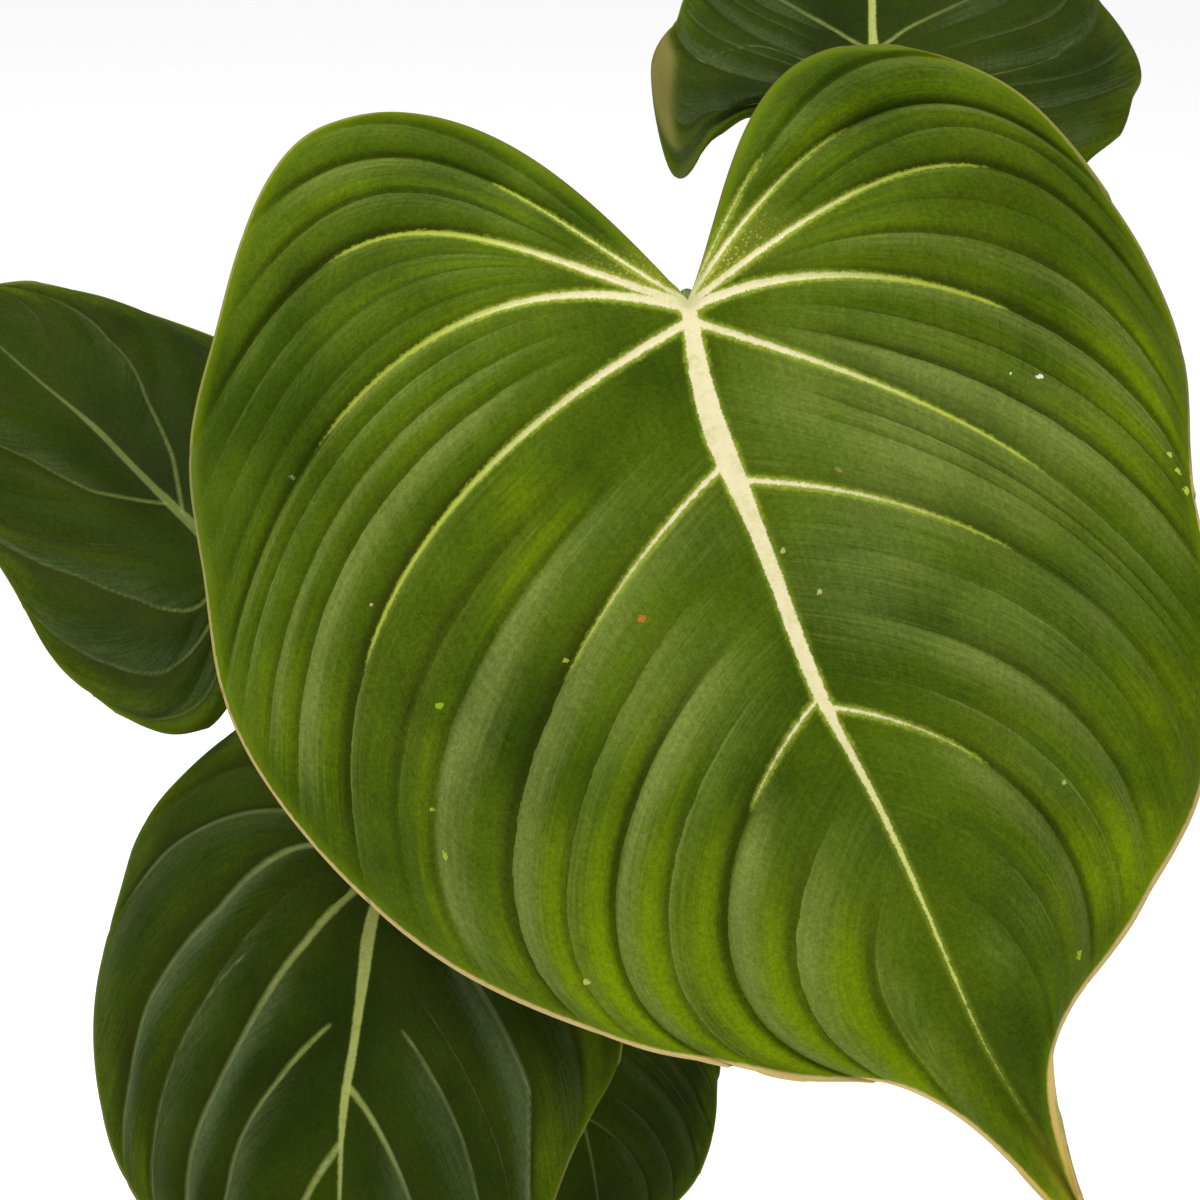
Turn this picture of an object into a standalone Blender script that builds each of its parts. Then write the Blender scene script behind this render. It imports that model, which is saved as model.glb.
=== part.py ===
"""Philodendron gloriosum in a plain clay pot: a creeping stem lying in the potting soil, five leaf
stalks that rise from it, and a heart-shaped blade on each stalk.

The origin is the centre of the pot's underside, +Z is up and -Y is the side the large blade faces.
Sizes are in millimetres and turn into metres where a mesh is made."""

import math

import bmesh
import bpy
import numpy as np
from mathutils import Matrix, Vector

MM = 0.001

# Pot and soil
POT_HEIGHT = 165.0
POT_FOOT_RADIUS = 66.0
POT_WALL_TOP_RADIUS = 88.0
POT_WALL = 6.0
POT_BASE = 9.0
RIM_HEIGHT = 34.0
RIM_RADIUS = 98.0
RIM_FOOT_RADIUS = 94.0
POT_SIDES = 48
DRAIN_HOLES = 5
DRAIN_RADIUS = 5.0
DRAIN_CIRCLE = 34.0
SOIL_TOP = 147.0
SOIL_HEAP = 4.0
GAP = 0.4

# Creeping stem, with a ring at each place where a leaf stalk leaves it
STEM_RADIUS = 10.5
STEM_SIDES = 14
STEM_RING = 1.1
STEM_ROUTE = [(-70, 18), (-54, 22), (-34, 16), (-12, 6), (14, 3), (38, 8), (56, 4), (70, -6)]
STEM_LIFT = 5.0
ROOT_RADIUS = 1.7
ROOT_SIDES = 6
ROOTS = [(-44, -1), (-18, 1), (8, -1), (33, 1), (50, -1)]
ROOT_REACH = 24.0

# Leaf stalks
STALK_SIDES = 10
STALK_STEPS = 22
SOCKET_DEPTH = 5.0

# Blade pattern of the large leaf, in millimetres. The first number runs across the blade, to the right as
# its upper face is seen with the tip down, and the second from the leaf stalk's joint towards the tip.
BLADE_THICKNESS = 0.9
MIDRIB_DEPTH = 2.6
MIDRIB = [(0, 0), (-6, 26), (-7, 52), (-8, 78), (-9, 104), (-7, 130), (-6, 156), (-6, 182), (-5, 208),
          (-1, 234), (2, 270)]

# A vein is (distance along the midrib where it leaves, and two handles that bend it). Veins run from the one
# nearest the tip to the edge of the notch. A margin runs from the tip to the notch in half steps of a vein.
LEFT_VEINS = [
    (151, (-34, 178), (-20, 192)), (104, (-49, 123), (-79, 170)), (78, (-49, 86), (-111, 144)),
    (41, (-52, 56), (-128, 112)), (5, (-66, 11), (-127, 37)), (2, (-55, -42), (-117, -6)),
    (1, (-48, -41), (-64, -74)), (0, (-26, -33), (-42, -87)), (0, (-10, -29), (-21, -62)),
]
LEFT_MARGIN = [(2, 270), (-7, 246), (-15, 225), (-24, 210), (-34, 201), (-50, 193), (-66, 182), (-80, 173),
               (-94, 162), (-118, 138), (-136, 109), (-147, 77), (-150, 44), (-142, 14), (-133, -17),
               (-115, -42), (-97, -64), (-74, -80), (-50, -77)]
RIGHT_VEINS = [
    (151, (13, 168), (19, 197)), (107, (25, 126), (44, 165)), (79, (31, 100), (65, 136)),
    (46, (38, 67), (79, 111)), (5, (43, 44), (75, 72)), (2, (48, 0), (104, 48)),
    (1, (60, -14), (101, -21)), (0, (43, -29), (88, -43)), (0, (22, -22), (39, -60)),
]
RIGHT_MARGIN = [(2, 270), (2, 245), (6, 219), (16, 205), (25, 199), (38, 191), (48, 183), (60, 174),
                (72, 163), (81, 149), (88, 135), (94, 116), (98, 97), (105, 79), (112, 61), (113, 39),
                (110, 19), (99, -15), (76, -39)]
HALF_WIDTH = 125.0

# Relief shared by all blades, in millimetres on the large one
PLEAT_DEPTH = 3.2
PLEAT_SHARE = 0.13
VALLEY_DEPTH = 5.0
VALLEY_WIDTH = 22.0


def leaf(name, joint, turn, lean, swing, size, stalk, detail=2, rows=8, width=1.0, belly=0.0, lobe=1.0,
         tuck=0.0, droop=0.0, **falls):
    """One leaf: the joint between stalk and blade, the blade's turn, lean and swing in degrees, its size
    and width against the pattern, how far its flanks lie towards the tip, how long its lobes are, how far
    the right lobe's inner edge is drawn in and the lobe hangs, and how far sides, lobes and tip fall."""
    return dict(name=name, joint=joint, turn=turn, lean=lean, swing=swing, size=size, stalk=stalk,
                detail=detail, rows=rows, width=width, belly=belly, lobe=lobe, tuck=tuck, droop=droop, **falls)


# A stalk is (its place along the creeping stem, radius at foot and top, how far it bows out, and how far
# its middle sways along X).
LEAVES = [
    leaf("large", (69, -80, 550), 0, 25, 23.5, 1.0, (27, 5.4, 3.6, 40, 0), detail=4, rows=12,
         side_fall=30, lobe_fall=26, tip_fall=30, wave=3.0, wave_start=0.0),
    leaf("left", (-57, -9, 442), 0, 54, -136, 0.63, (-50, 4.4, 2.8, 15, 24),
         width=0.72, belly=-39, lobe=0.86, side_fall=19, lobe_fall=13, tip_fall=14, wave=2.0, wave_start=1.0),
    leaf("low", (-9, -82, 391), -25, 27, 5, 0.67, (-24, 4.6, 2.9, 15, -34),
         width=0.92, belly=9, lobe=0.72, side_fall=17, lobe_fall=15, tip_fall=14, wave=2.0, wave_start=2.0),
    leaf("small", (39, -34, 330), 3, 22, 7, 0.41, (2, 3.6, 2.3, 10, 0), width=0.92,
         side_fall=14, lobe_fall=14, tip_fall=14, wave=1.5, wave_start=3.0),
    leaf("back", (120, 25, 570), -10, 73, 190, 0.51, (52, 4.6, 2.9, 30, 0),
         width=1.02, belly=-4, tuck=0.85, droop=40, side_fall=16, lobe_fall=14, tip_fall=14, wave=2.0, wave_start=4.0),
]


def clear_scene():
    for obj in list(bpy.data.objects):
        bpy.data.objects.remove(obj, do_unlink=True)


def finish_material(name, colour, roughness):
    material = bpy.data.materials.new(name)
    material.use_nodes = True
    shader = material.node_tree.nodes["Principled BSDF"]
    shader.inputs["Base Color"].default_value = (*colour, 1)
    shader.inputs["Roughness"].default_value = roughness
    shader.inputs["Metallic"].default_value = 0.0
    return material


def mesh_object(name, points, faces, material):
    """An object from points in millimetres."""
    mesh = bpy.data.meshes.new(name)
    mesh.from_pydata([tuple(p * MM) for p in np.asarray(points, float)], [], faces)
    mesh.shade_smooth()
    mesh.materials.append(material)
    obj = bpy.data.objects.new(name, mesh)
    bpy.context.scene.collection.objects.link(obj)
    return obj


def curve_through(knots, values, at):
    """Natural cubic spline through values at the knots, read at the places in at."""
    knots, values, at = np.asarray(knots, float), np.asarray(values, float), np.asarray(at, float)
    steps = np.diff(knots)
    count = len(knots)
    matrix = np.eye(count)
    right = np.zeros((count, values.shape[1]))
    for i in range(1, count - 1):
        matrix[i, i - 1:i + 2] = steps[i - 1], 2 * (steps[i - 1] + steps[i]), steps[i]
        right[i] = 6 * ((values[i + 1] - values[i]) / steps[i] - (values[i] - values[i - 1]) / steps[i - 1])
    bend = np.linalg.solve(matrix, right)
    i = np.clip(np.searchsorted(knots, at, side="right") - 1, 0, count - 2)
    h = steps[i][..., None]
    a = (knots[i + 1] - at)[..., None] / h
    b = 1 - a
    return (a * values[i] + b * values[i + 1]
            + ((a**3 - a) * bend[i] + (b**3 - b) * bend[i + 1]) * h**2 / 6)


def midrib_at(distance):
    """The midrib's point at a distance from the joint, measured along the pattern's length."""
    line = np.array(MIDRIB, float)
    across = curve_through(line[:, 1], line[:, :1], distance)
    return np.concatenate([across, np.asarray(distance, float)[..., None]], axis=-1)


def half_pattern(veins, margin, place, along):
    """Points of a half blade. place runs from 0 at the tip by one for each vein to the notch, and along
    from 0 at the midrib to 1 at the margin. Near the tip the veins straighten."""
    keys = np.arange(len(veins) + 1)
    starts = np.array([MIDRIB[-1][1]] + [vein[0] for vein in veins], float)
    start = midrib_at(np.interp(place, keys, starts))
    end = curve_through(keys_of(margin), np.array(margin, float), place)
    first = np.array([vein[1] for vein in veins], float) - midrib_at(starts[1:])
    second = np.array([vein[2] for vein in veins], float) - np.array(margin[2::2], float)
    bends = curve_through(keys[1:], np.hstack([first, second]), np.maximum(place, 1))
    bends = bends * (np.minimum(place, 1)**2)[..., None]
    t = along[..., None]
    return ((1 - t)**3 * start + 3 * (1 - t)**2 * t * (start + bends[..., :2])
            + 3 * (1 - t) * t**2 * (end + bends[..., 2:]) + t**3 * end)


def keys_of(margin):
    return np.linspace(0, (len(margin) - 1) / 2, len(margin))


def ramp(value, low, high):
    """Rises smoothly from 0 to 1 between low and high."""
    share = np.clip((value - low) / (high - low), 0, 1)
    return share * share * (3 - 2 * share)


def relief(points, place, along, spacing, shape):
    """Height of the upper face over the pattern's plane: fall of the sides, lobes and tip, the valley at
    the midrib, the waved margin and pillows between neighbouring veins."""
    across, down = points[..., 0], points[..., 1]
    reach = np.abs(across) / HALF_WIDTH
    lobes = np.clip(12 - down, 0, None) / 85
    tip = np.clip(down - 110, 0, None) / 136
    height = -shape["side_fall"] * reach**2.1 - shape["lobe_fall"] * lobes**1.8 - shape["tip_fall"] * tip**1.8
    height = height + VALLEY_DEPTH * (1 - np.exp(-(np.abs(across + 6) / VALLEY_WIDTH)**2)) * np.exp(-tip)
    height = height + shape["wave"] * along**3 * np.sin(2.4 * place + shape["wave_start"])
    height = height - shape["droop"] * ramp(across, 60, 112) * ramp(-down, -60, 20)
    pleat = np.abs(np.sin(math.pi * place))
    if shape["detail"] >= 4:
        pleat = 0.6 * pleat + 0.55 * np.abs(np.sin(2 * math.pi * place))
    depth = np.minimum(PLEAT_DEPTH, PLEAT_SHARE * spacing)
    return height + depth * pleat * np.sin(math.pi * np.clip(along, 0.02, 0.9))**0.6


def blade_grid(one, place, along):
    """Upper face of the blade in the leaf's own axes. The left half has negative places."""
    left = (place < 0)[..., None]
    place = np.abs(place)

    def flat_at(where):
        return np.where(left, half_pattern(LEFT_VEINS, LEFT_MARGIN, where, along),
                        half_pattern(RIGHT_VEINS, RIGHT_MARGIN, where, along))

    flat = flat_at(place)
    step = 0.02
    spacing = np.linalg.norm(flat_at(np.abs(place - step)) - flat, axis=-1) / step
    height = relief(flat, place, along, spacing, one)
    across, down = flat[..., 0], flat[..., 1]
    drawn = 1 - one["tuck"] * (1 - ramp(across, 62, 98)) * ramp(across, 0, 20)
    down = np.where(down < 0, down * one["lobe"] * drawn, down) + one["belly"] * (across / HALF_WIDTH)**2
    return np.stack([across, down, height], axis=-1)


def blade_axes(one):
    """Matrix whose columns are the blade's across, tipward and upward directions."""
    rest = Matrix(((1, 0, 0), (0, 0, -1), (0, -1, 0)))
    turned = (Matrix.Rotation(math.radians(one["turn"]), 3, "Z")
              @ Matrix.Rotation(math.radians(-one["lean"]), 3, "X")
              @ Matrix.Rotation(math.radians(-one["swing"]), 3, "Y"))
    return np.array(turned @ rest)


def blade_to_world(one, points):
    size = one["size"] * np.array([one["width"], 1, 1])
    return np.asarray(points) * size @ blade_axes(one).T + np.array(one["joint"], float)


def blade_faces(columns, rows):
    """Points of the grid as (place, along) and its triangles, for both halves, welded at the midrib. The
    left half's columns come with negative places."""
    ids, spots, faces = {}, [], []

    def point(side, column, row):
        tip = column == 0
        key = ("tip",) if tip else ("rib", column) if row == 0 else (side, column, row)
        if row == 0 and not tip and start_of(column) <= 0:
            key = ("joint",)
        if key not in ids:
            ids[key] = len(spots)
            spots.append((side, column, row))
        return ids[key]

    per_vein = columns // len(LEFT_VEINS)

    def start_of(column):
        starts = [MIDRIB[-1][1]] + [vein[0] for vein in RIGHT_VEINS]
        return np.interp(column / per_vein, range(len(starts)), starts)

    for side in (-1, 1):
        for column in range(columns):
            for row in range(rows):
                a, b = point(side, column, row), point(side, column + 1, row)
                c, d = point(side, column + 1, row + 1), point(side, column, row + 1)
                for triangle in ((a, b, c), (a, c, d)):
                    if len(set(triangle)) == 3:
                        faces.append(triangle if side < 0 else triangle[::-1])
    return spots, faces, per_vein


def outward_normals(points, faces):
    corners = points[np.array(faces)]
    crossed = np.cross(corners[:, 1] - corners[:, 0], corners[:, 2] - corners[:, 0])
    normals = np.zeros_like(points)
    for k in range(3):
        np.add.at(normals, np.array(faces)[:, k], crossed)
    return normals / np.linalg.norm(normals, axis=1, keepdims=True)


def make_blade(one, material):
    """A closed thin blade, with the same triangles on both faces and a keel under the midrib."""
    columns = len(LEFT_VEINS) * one["detail"]
    spots, faces, per_vein = blade_faces(columns, one["rows"])
    spots = np.array(spots, float)
    along = (spots[:, 2] / one["rows"])**1.15
    place = spots[:, 1] / per_vein * np.where(spots[:, 0] < 0, -1, 1)
    top = blade_grid(one, place, along)
    top = blade_to_world(one, top)
    normals = outward_normals(top, faces)
    if np.dot(normals.mean(axis=0), blade_axes(one)[:, 2]) < 0:
        faces = [f[::-1] for f in faces]
        normals = -normals
    reach = np.clip(1 - np.abs(place) / len(LEFT_VEINS) * 0.2, 0.5, 1)
    keel = np.where(spots[:, 2] == 0, MIDRIB_DEPTH * one["size"] * reach, 0)
    keel[(spots[:, 1] == 0)] = 0
    under = top - normals * (BLADE_THICKNESS + keel)[:, None]
    count = len(top)
    open_edges = {}
    for f in faces:
        for a, b in ((f[0], f[1]), (f[1], f[2]), (f[2], f[0])):
            open_edges[(a, b)] = open_edges.get((a, b), 0) + 1
    rim = [(a, b) for a, b in open_edges if (b, a) not in open_edges]
    sides = []
    for a, b in rim:
        sides += [(b, a, a + count), (b, a + count, b + count)]
    below = [(f[2] + count, f[1] + count, f[0] + count) for f in faces]
    return mesh_object("blade_" + one["name"], np.vstack([top, under]), faces + below + sides, material)


def stem_point(x):
    """The creeping stem's axis over a place along X."""
    route = np.array(STEM_ROUTE, float)
    y = curve_through(route[:, 0], route[:, 1:], np.array([float(x)]))[0, 0]
    return np.array([x, y, SOIL_TOP + STEM_LIFT])


def tube(name, points, radii, sides, material):
    """A round rod along points, closed at both ends."""
    data = bpy.data.curves.new(name, "CURVE")
    data.dimensions = "3D"
    data.bevel_depth = MM
    data.bevel_resolution = sides // 2 - 2
    data.use_fill_caps = True
    spline = data.splines.new("POLY")
    spline.points.add(len(points) - 1)
    for knot, p, r in zip(spline.points, points, radii):
        knot.co = (*(np.asarray(p) * MM), 1)
        knot.radius = r
    data.materials.append(material)
    obj = bpy.data.objects.new(name, data)
    bpy.context.scene.collection.objects.link(obj)
    return obj


def as_mesh(obj):
    """The curve object as a mesh object of the same name, its ends welded."""
    graph = bpy.context.evaluated_depsgraph_get()
    mesh = bpy.data.meshes.new_from_object(obj.evaluated_get(graph))
    name = obj.name
    materials = [m for m in obj.data.materials]
    bpy.data.objects.remove(obj, do_unlink=True)
    work = bmesh.new()
    work.from_mesh(mesh)
    bmesh.ops.remove_doubles(work, verts=work.verts, dist=0.00001)
    work.to_mesh(mesh)
    work.free()
    made = bpy.data.objects.new(name, mesh)
    bpy.context.scene.collection.objects.link(made)
    if not mesh.materials:
        for material in materials:
            mesh.materials.append(material)
    return made


def cut(target, cutter, operation="DIFFERENCE"):
    """Applies a Boolean and removes the other object."""
    modifier = target.modifiers.new("cut", "BOOLEAN")
    modifier.operation = operation
    modifier.solver = "EXACT"
    modifier.object = cutter
    bpy.context.view_layer.objects.active = target
    with bpy.context.temp_override(object=target, active_object=target, selected_objects=[target]):
        bpy.ops.object.modifier_apply(modifier=modifier.name)
    bpy.data.objects.remove(cutter, do_unlink=True)
    work = bmesh.new()
    work.from_mesh(target.data)
    bmesh.ops.dissolve_degenerate(work, edges=work.edges, dist=0.00003)
    bmesh.ops.triangulate(work, faces=[f for f in work.faces if len(f.verts) > 4])
    work.to_mesh(target.data)
    work.free()


def stalk_line(one):
    """Points from the creeping stem up to the back of the blade's joint."""
    place, foot, top, bow, sway = one["stalk"]
    axes = blade_axes(one)
    upward, tipward = axes[:, 2], axes[:, 1]
    foot_at = stem_point(place) + np.array([0, 0, STEM_RADIUS - SOCKET_DEPTH])
    back = BLADE_THICKNESS + MIDRIB_DEPTH * one["size"] + top * 0.7 + GAP
    end = np.array(one["joint"], float) - upward * back
    length = np.linalg.norm(end - foot_at)
    arrive = upward * 0.75 + np.array([0, 0, 0.55]) - tipward * 0.1
    arrive /= np.linalg.norm(arrive)
    lean_out = np.array([end[0] - foot_at[0], end[1] - foot_at[1], 0]) / max(length, 1)
    leave = np.array([0, 0, 1.0]) - 0.25 * lean_out
    t = np.linspace(0, 1, STALK_STEPS)[:, None]
    first = foot_at + leave * length * 0.42
    second = end - arrive * (length * 0.16 + bow * 0.6) + np.array([sway, 0, 0])
    return (1 - t)**3 * foot_at + 3 * (1 - t)**2 * t * first + 3 * (1 - t) * t**2 * second + t**3 * end


def stalk_radii(one, extra=0.0):
    foot, top = one["stalk"][1:3]
    t = np.linspace(0, 1, STALK_STEPS)
    return top + (foot - top) * (1 - t)**1.3 + 0.25 * foot * np.exp(-t / 0.03) + extra


def make_stalk(one, material):
    return tube("stalk_" + one["name"], stalk_line(one), stalk_radii(one), STALK_SIDES, material)


def make_creeping_stem(name, material, extra=0.0):
    """The stem with a ring at each joint, a blunt growing point and roots that go down into the soil. A
    little extra on every side makes the solid that cuts its trough."""
    xs = np.linspace(STEM_ROUTE[0][0] - extra, STEM_ROUTE[-1][0] + extra, 34)
    joints = np.array([one["stalk"][0] for one in LEAVES], float)
    near = np.min(np.abs(xs[:, None] - joints[None, :]), axis=1)
    radii = STEM_RADIUS * (1 + (STEM_RING - 1) * np.exp(-(near / 4)**2))
    share = np.linspace(0, 1, len(xs))
    radii *= 1 - 0.6 * np.clip((share - 0.9) / 0.1, 0, 1)**2
    radii *= 1 - 0.3 * np.clip((0.05 - share) / 0.05, 0, 1)**2
    points = [stem_point(x) for x in xs]
    stem = as_mesh(tube(name, points, radii + extra, STEM_SIDES, material))
    for x, side in ROOTS:
        start = stem_point(x)
        steps = np.linspace(0, 1 + extra / 40, 8)
        line = [start + np.array([5 * t, side * (2 + ROOT_REACH * t**0.8), -2 - 30 * t**1.6]) for t in steps]
        radius = np.linspace(ROOT_RADIUS * 1.3, ROOT_RADIUS * 0.7, 8) + extra
        cut(stem, as_mesh(tube("root", line, radius, ROOT_SIDES, material)), "UNION")
    return stem


def cut_sockets(stem):
    """A hole for the foot of each leaf stalk."""
    for one in LEAVES:
        line, radii = stalk_line(one), stalk_radii(one, GAP)
        line = np.vstack([line[0] - np.array([0, 0, GAP]), line[1:5]])
        cut(stem, as_mesh(tube("socket", line, radii[:5], STALK_SIDES, None)))


def pot_profile():
    """Outer side from the top down, across the underside, and up the inner side."""
    inner_foot = POT_FOOT_RADIUS - POT_WALL
    inner_top = POT_WALL_TOP_RADIUS - POT_WALL + 4
    return [
        (RIM_RADIUS - 3, POT_HEIGHT), (RIM_RADIUS - 0.8, POT_HEIGHT - 1.2), (RIM_RADIUS, POT_HEIGHT - 4),
        (RIM_FOOT_RADIUS + 0.6, POT_HEIGHT - RIM_HEIGHT + 2), (RIM_FOOT_RADIUS - 1, POT_HEIGHT - RIM_HEIGHT),
        (POT_WALL_TOP_RADIUS - 1, POT_HEIGHT - RIM_HEIGHT - 1),
        (POT_FOOT_RADIUS + 1.2, 4), (POT_FOOT_RADIUS - 2, 0), (0, 0),
        (0, POT_BASE), (inner_foot - 4, POT_BASE), (inner_foot, POT_BASE + 4),
        (inner_top, POT_HEIGHT - RIM_HEIGHT), (RIM_RADIUS - POT_WALL - 2, POT_HEIGHT - 4),
        (RIM_RADIUS - POT_WALL, POT_HEIGHT - 1), (RIM_RADIUS - 5, POT_HEIGHT),
    ]


def turned(name, profile, sides, material):
    """A solid turned about Z from a closed profile of (radius, height)."""
    work = bmesh.new()
    verts = [work.verts.new((r * MM, 0, z * MM)) for r, z in profile]
    edges = [work.edges.new((verts[i], verts[i + 1])) for i in range(len(verts) - 1)]
    if profile[0][0] > 0 or profile[-1][0] > 0:
        edges.append(work.edges.new((verts[-1], verts[0])))
    bmesh.ops.spin(work, geom=verts + edges, cent=(0, 0, 0), axis=(0, 0, 1), angle=2 * math.pi,
                   steps=sides, use_merge=True)
    bmesh.ops.remove_doubles(work, verts=work.verts, dist=0.00001)
    flat = [f for f in work.faces if f.calc_area() < 1e-12]
    bmesh.ops.delete(work, geom=flat, context="FACES")
    bmesh.ops.recalc_face_normals(work, faces=work.faces)
    mesh = bpy.data.meshes.new(name)
    work.to_mesh(mesh)
    work.free()
    mesh.shade_smooth()
    mesh.set_sharp_from_angle(angle=math.radians(40))
    if material:
        mesh.materials.append(material)
    obj = bpy.data.objects.new(name, mesh)
    bpy.context.scene.collection.objects.link(obj)
    return obj


def make_pot(material):
    pot = turned("pot", pot_profile(), POT_SIDES, material)
    for i in range(DRAIN_HOLES):
        angle = 2 * math.pi * i / DRAIN_HOLES
        outline = [(0, -2), (DRAIN_RADIUS, -2), (DRAIN_RADIUS, POT_BASE + 2), (0, POT_BASE + 2)]
        hole = turned("hole", outline, 12, None)
        shift = Matrix.Translation(Vector((math.cos(angle), math.sin(angle), 0)) * DRAIN_CIRCLE * MM)
        hole.data.transform(shift)
        cut(pot, hole)
    return pot


def soil_height(x, y):
    """Top of the soil: a low heap with soft lumps."""
    r = math.hypot(x, y)
    lumps = 1.3 * math.sin(x / 9.0 + 0.7) * math.cos(y / 8.0) + 0.9 * math.sin((x + y) / 5.3)
    return SOIL_TOP + SOIL_HEAP * (1 - (r / 90)**2) + lumps * min(1, (92 - r) / 20)


def make_soil(material, stem_cutter):
    """Soil that fills the pot, with a trough where the creeping stem and its roots lie."""
    inner_foot = POT_FOOT_RADIUS - POT_WALL
    inner_top = POT_WALL_TOP_RADIUS - POT_WALL + 4
    rise = (SOIL_TOP - POT_HEIGHT + RIM_HEIGHT) / (RIM_HEIGHT - 4)
    top_radius = inner_top + (RIM_RADIUS - POT_WALL - 2 - inner_top) * rise - 1.0
    rings, sides = 9, POT_SIDES
    points = [(0, 0, soil_height(0, 0))]
    for ring in range(1, rings + 1):
        for k in range(sides):
            a = 2 * math.pi * k / sides
            r = top_radius * ring / rings
            x, y = r * math.cos(a), r * math.sin(a)
            points.append((x, y, soil_height(x, y)))
    walls = [(inner_top - 0.8, POT_HEIGHT - RIM_HEIGHT), (inner_foot - 0.8, POT_BASE + 4)]
    walls.append((inner_foot - 5, POT_BASE + 0.5))
    for r, z in walls:
        for k in range(sides):
            a = 2 * math.pi * k / sides
            points.append((r * math.cos(a), r * math.sin(a), z))
    points.append((0, 0, POT_BASE + 0.5))
    faces = [(0, 1 + k, 1 + (k + 1) % sides) for k in range(sides)]
    for ring in range(rings + len(walls) - 1):
        for k in range(sides):
            a, b = 1 + ring * sides + k, 1 + ring * sides + (k + 1) % sides
            faces.append((a, a + sides, b + sides, b))
    last = 1 + (rings + len(walls) - 1) * sides
    faces += [(last + (k + 1) % sides, last + k, len(points) - 1) for k in range(sides)]
    soil = mesh_object("soil", points, faces, material)
    cut(soil, stem_cutter)
    return soil


def main():
    clear_scene()
    green = finish_material("blade_green", (0.06, 0.13, 0.02), 0.5)
    stalk_green = finish_material("stalk_green", (0.16, 0.24, 0.07), 0.45)
    bark = finish_material("stem_brown", (0.20, 0.17, 0.08), 0.7)
    clay = finish_material("clay", (0.55, 0.24, 0.13), 0.85)
    earth = finish_material("potting_soil", (0.045, 0.03, 0.02), 0.95)
    make_pot(clay)
    make_soil(earth, make_creeping_stem("trough", bark, GAP))
    cut_sockets(make_creeping_stem("creeping_stem", bark))
    for one in LEAVES:
        make_stalk(one, stalk_green)
        make_blade(one, green)


main()
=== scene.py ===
"""A philodendron gloriosum in a plain clay pot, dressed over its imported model: five velvety heart-shaped
blades with cream veins on ribbed stalks, the creeping stem they rise from, potting soil and clay.

The origin is the centre of the pot's underside, +Z is up and -Y is the side the large blade faces. Leaf
patterns are in millimetres and turn into metres where a mesh is made."""

import math

import bmesh
import bpy
import numpy as np
from mathutils import Matrix, Vector


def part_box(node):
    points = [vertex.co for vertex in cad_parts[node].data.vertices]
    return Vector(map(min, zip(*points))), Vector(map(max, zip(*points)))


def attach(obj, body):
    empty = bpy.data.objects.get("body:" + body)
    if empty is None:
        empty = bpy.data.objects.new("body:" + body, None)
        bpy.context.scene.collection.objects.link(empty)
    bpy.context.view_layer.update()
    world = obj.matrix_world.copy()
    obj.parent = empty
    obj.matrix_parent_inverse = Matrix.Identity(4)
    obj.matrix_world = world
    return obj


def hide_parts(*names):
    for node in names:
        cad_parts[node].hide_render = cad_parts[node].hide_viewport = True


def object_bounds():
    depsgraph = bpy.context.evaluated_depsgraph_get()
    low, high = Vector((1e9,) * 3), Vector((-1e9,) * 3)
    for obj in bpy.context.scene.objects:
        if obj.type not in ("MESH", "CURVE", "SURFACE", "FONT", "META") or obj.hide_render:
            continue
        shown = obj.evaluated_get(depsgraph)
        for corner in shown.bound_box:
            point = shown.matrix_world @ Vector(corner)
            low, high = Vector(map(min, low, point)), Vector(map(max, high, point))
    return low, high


bl_info = {
    "name": "Philodendron gloriosum in a clay pot",
    "version": (1, 0, 0),
    "blender": (4, 5, 0),
    "location": "View3D > Sidebar > Philodendron",
    "description": "Builds the blades, stalks, creeping stem, soil and pot over the packed model",
    "category": "Add Mesh",
}

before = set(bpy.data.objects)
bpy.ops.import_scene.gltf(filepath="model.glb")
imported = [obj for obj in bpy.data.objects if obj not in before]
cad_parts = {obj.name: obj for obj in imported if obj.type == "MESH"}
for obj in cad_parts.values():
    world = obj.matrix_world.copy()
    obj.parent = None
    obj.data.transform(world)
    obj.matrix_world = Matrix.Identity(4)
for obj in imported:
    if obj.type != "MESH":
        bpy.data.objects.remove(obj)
CAD_LOW, CAD_HIGH = [Vector(corner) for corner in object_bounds()]
POT_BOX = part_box("pot")
MM = 0.001

# Pot, soil and creeping stem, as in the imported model
POT_HEIGHT = POT_BOX[1].z / MM
RIM_RADIUS = POT_BOX[1].x / MM
POT_FOOT_RADIUS = 66.0
POT_WALL_TOP_RADIUS = 88.0
POT_WALL = 6.0
POT_INNER_RADIUS = POT_WALL_TOP_RADIUS - POT_WALL + 4
MOUTH_RADIUS = RIM_RADIUS - POT_WALL
POT_BASE = 9.0
RIM_HEIGHT = 34.0
RIM_FOOT_RADIUS = 94.0
DRAIN_HOLES = 5
DRAIN_RADIUS = 5.0
DRAIN_CIRCLE = 34.0
SOIL_TOP = 147.0
SOIL_HEAP = 4.0
SOIL_DEPTH = 28.0
SOIL_GAP = 0.6
SOIL_FACES = 150
CRUMB_SINK = 0.25
STEM_RADIUS = 10.5
STEM_ROUTE = [(-70, 18), (-54, 22), (-34, 16), (-12, 6), (14, 3), (38, 8), (56, 4), (70, -6)]
STEM_LIFT = 5.0
RINGS = [-62, -37, -11, 15, 40, 61]
ROOTS = [(-44, -1), (-18, 1), (8, -1), (33, 1), (50, -1)]
ROOT_REACH = 24.0
ROOTLETS = 9
SOCKET_DEPTH = 5.0

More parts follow.
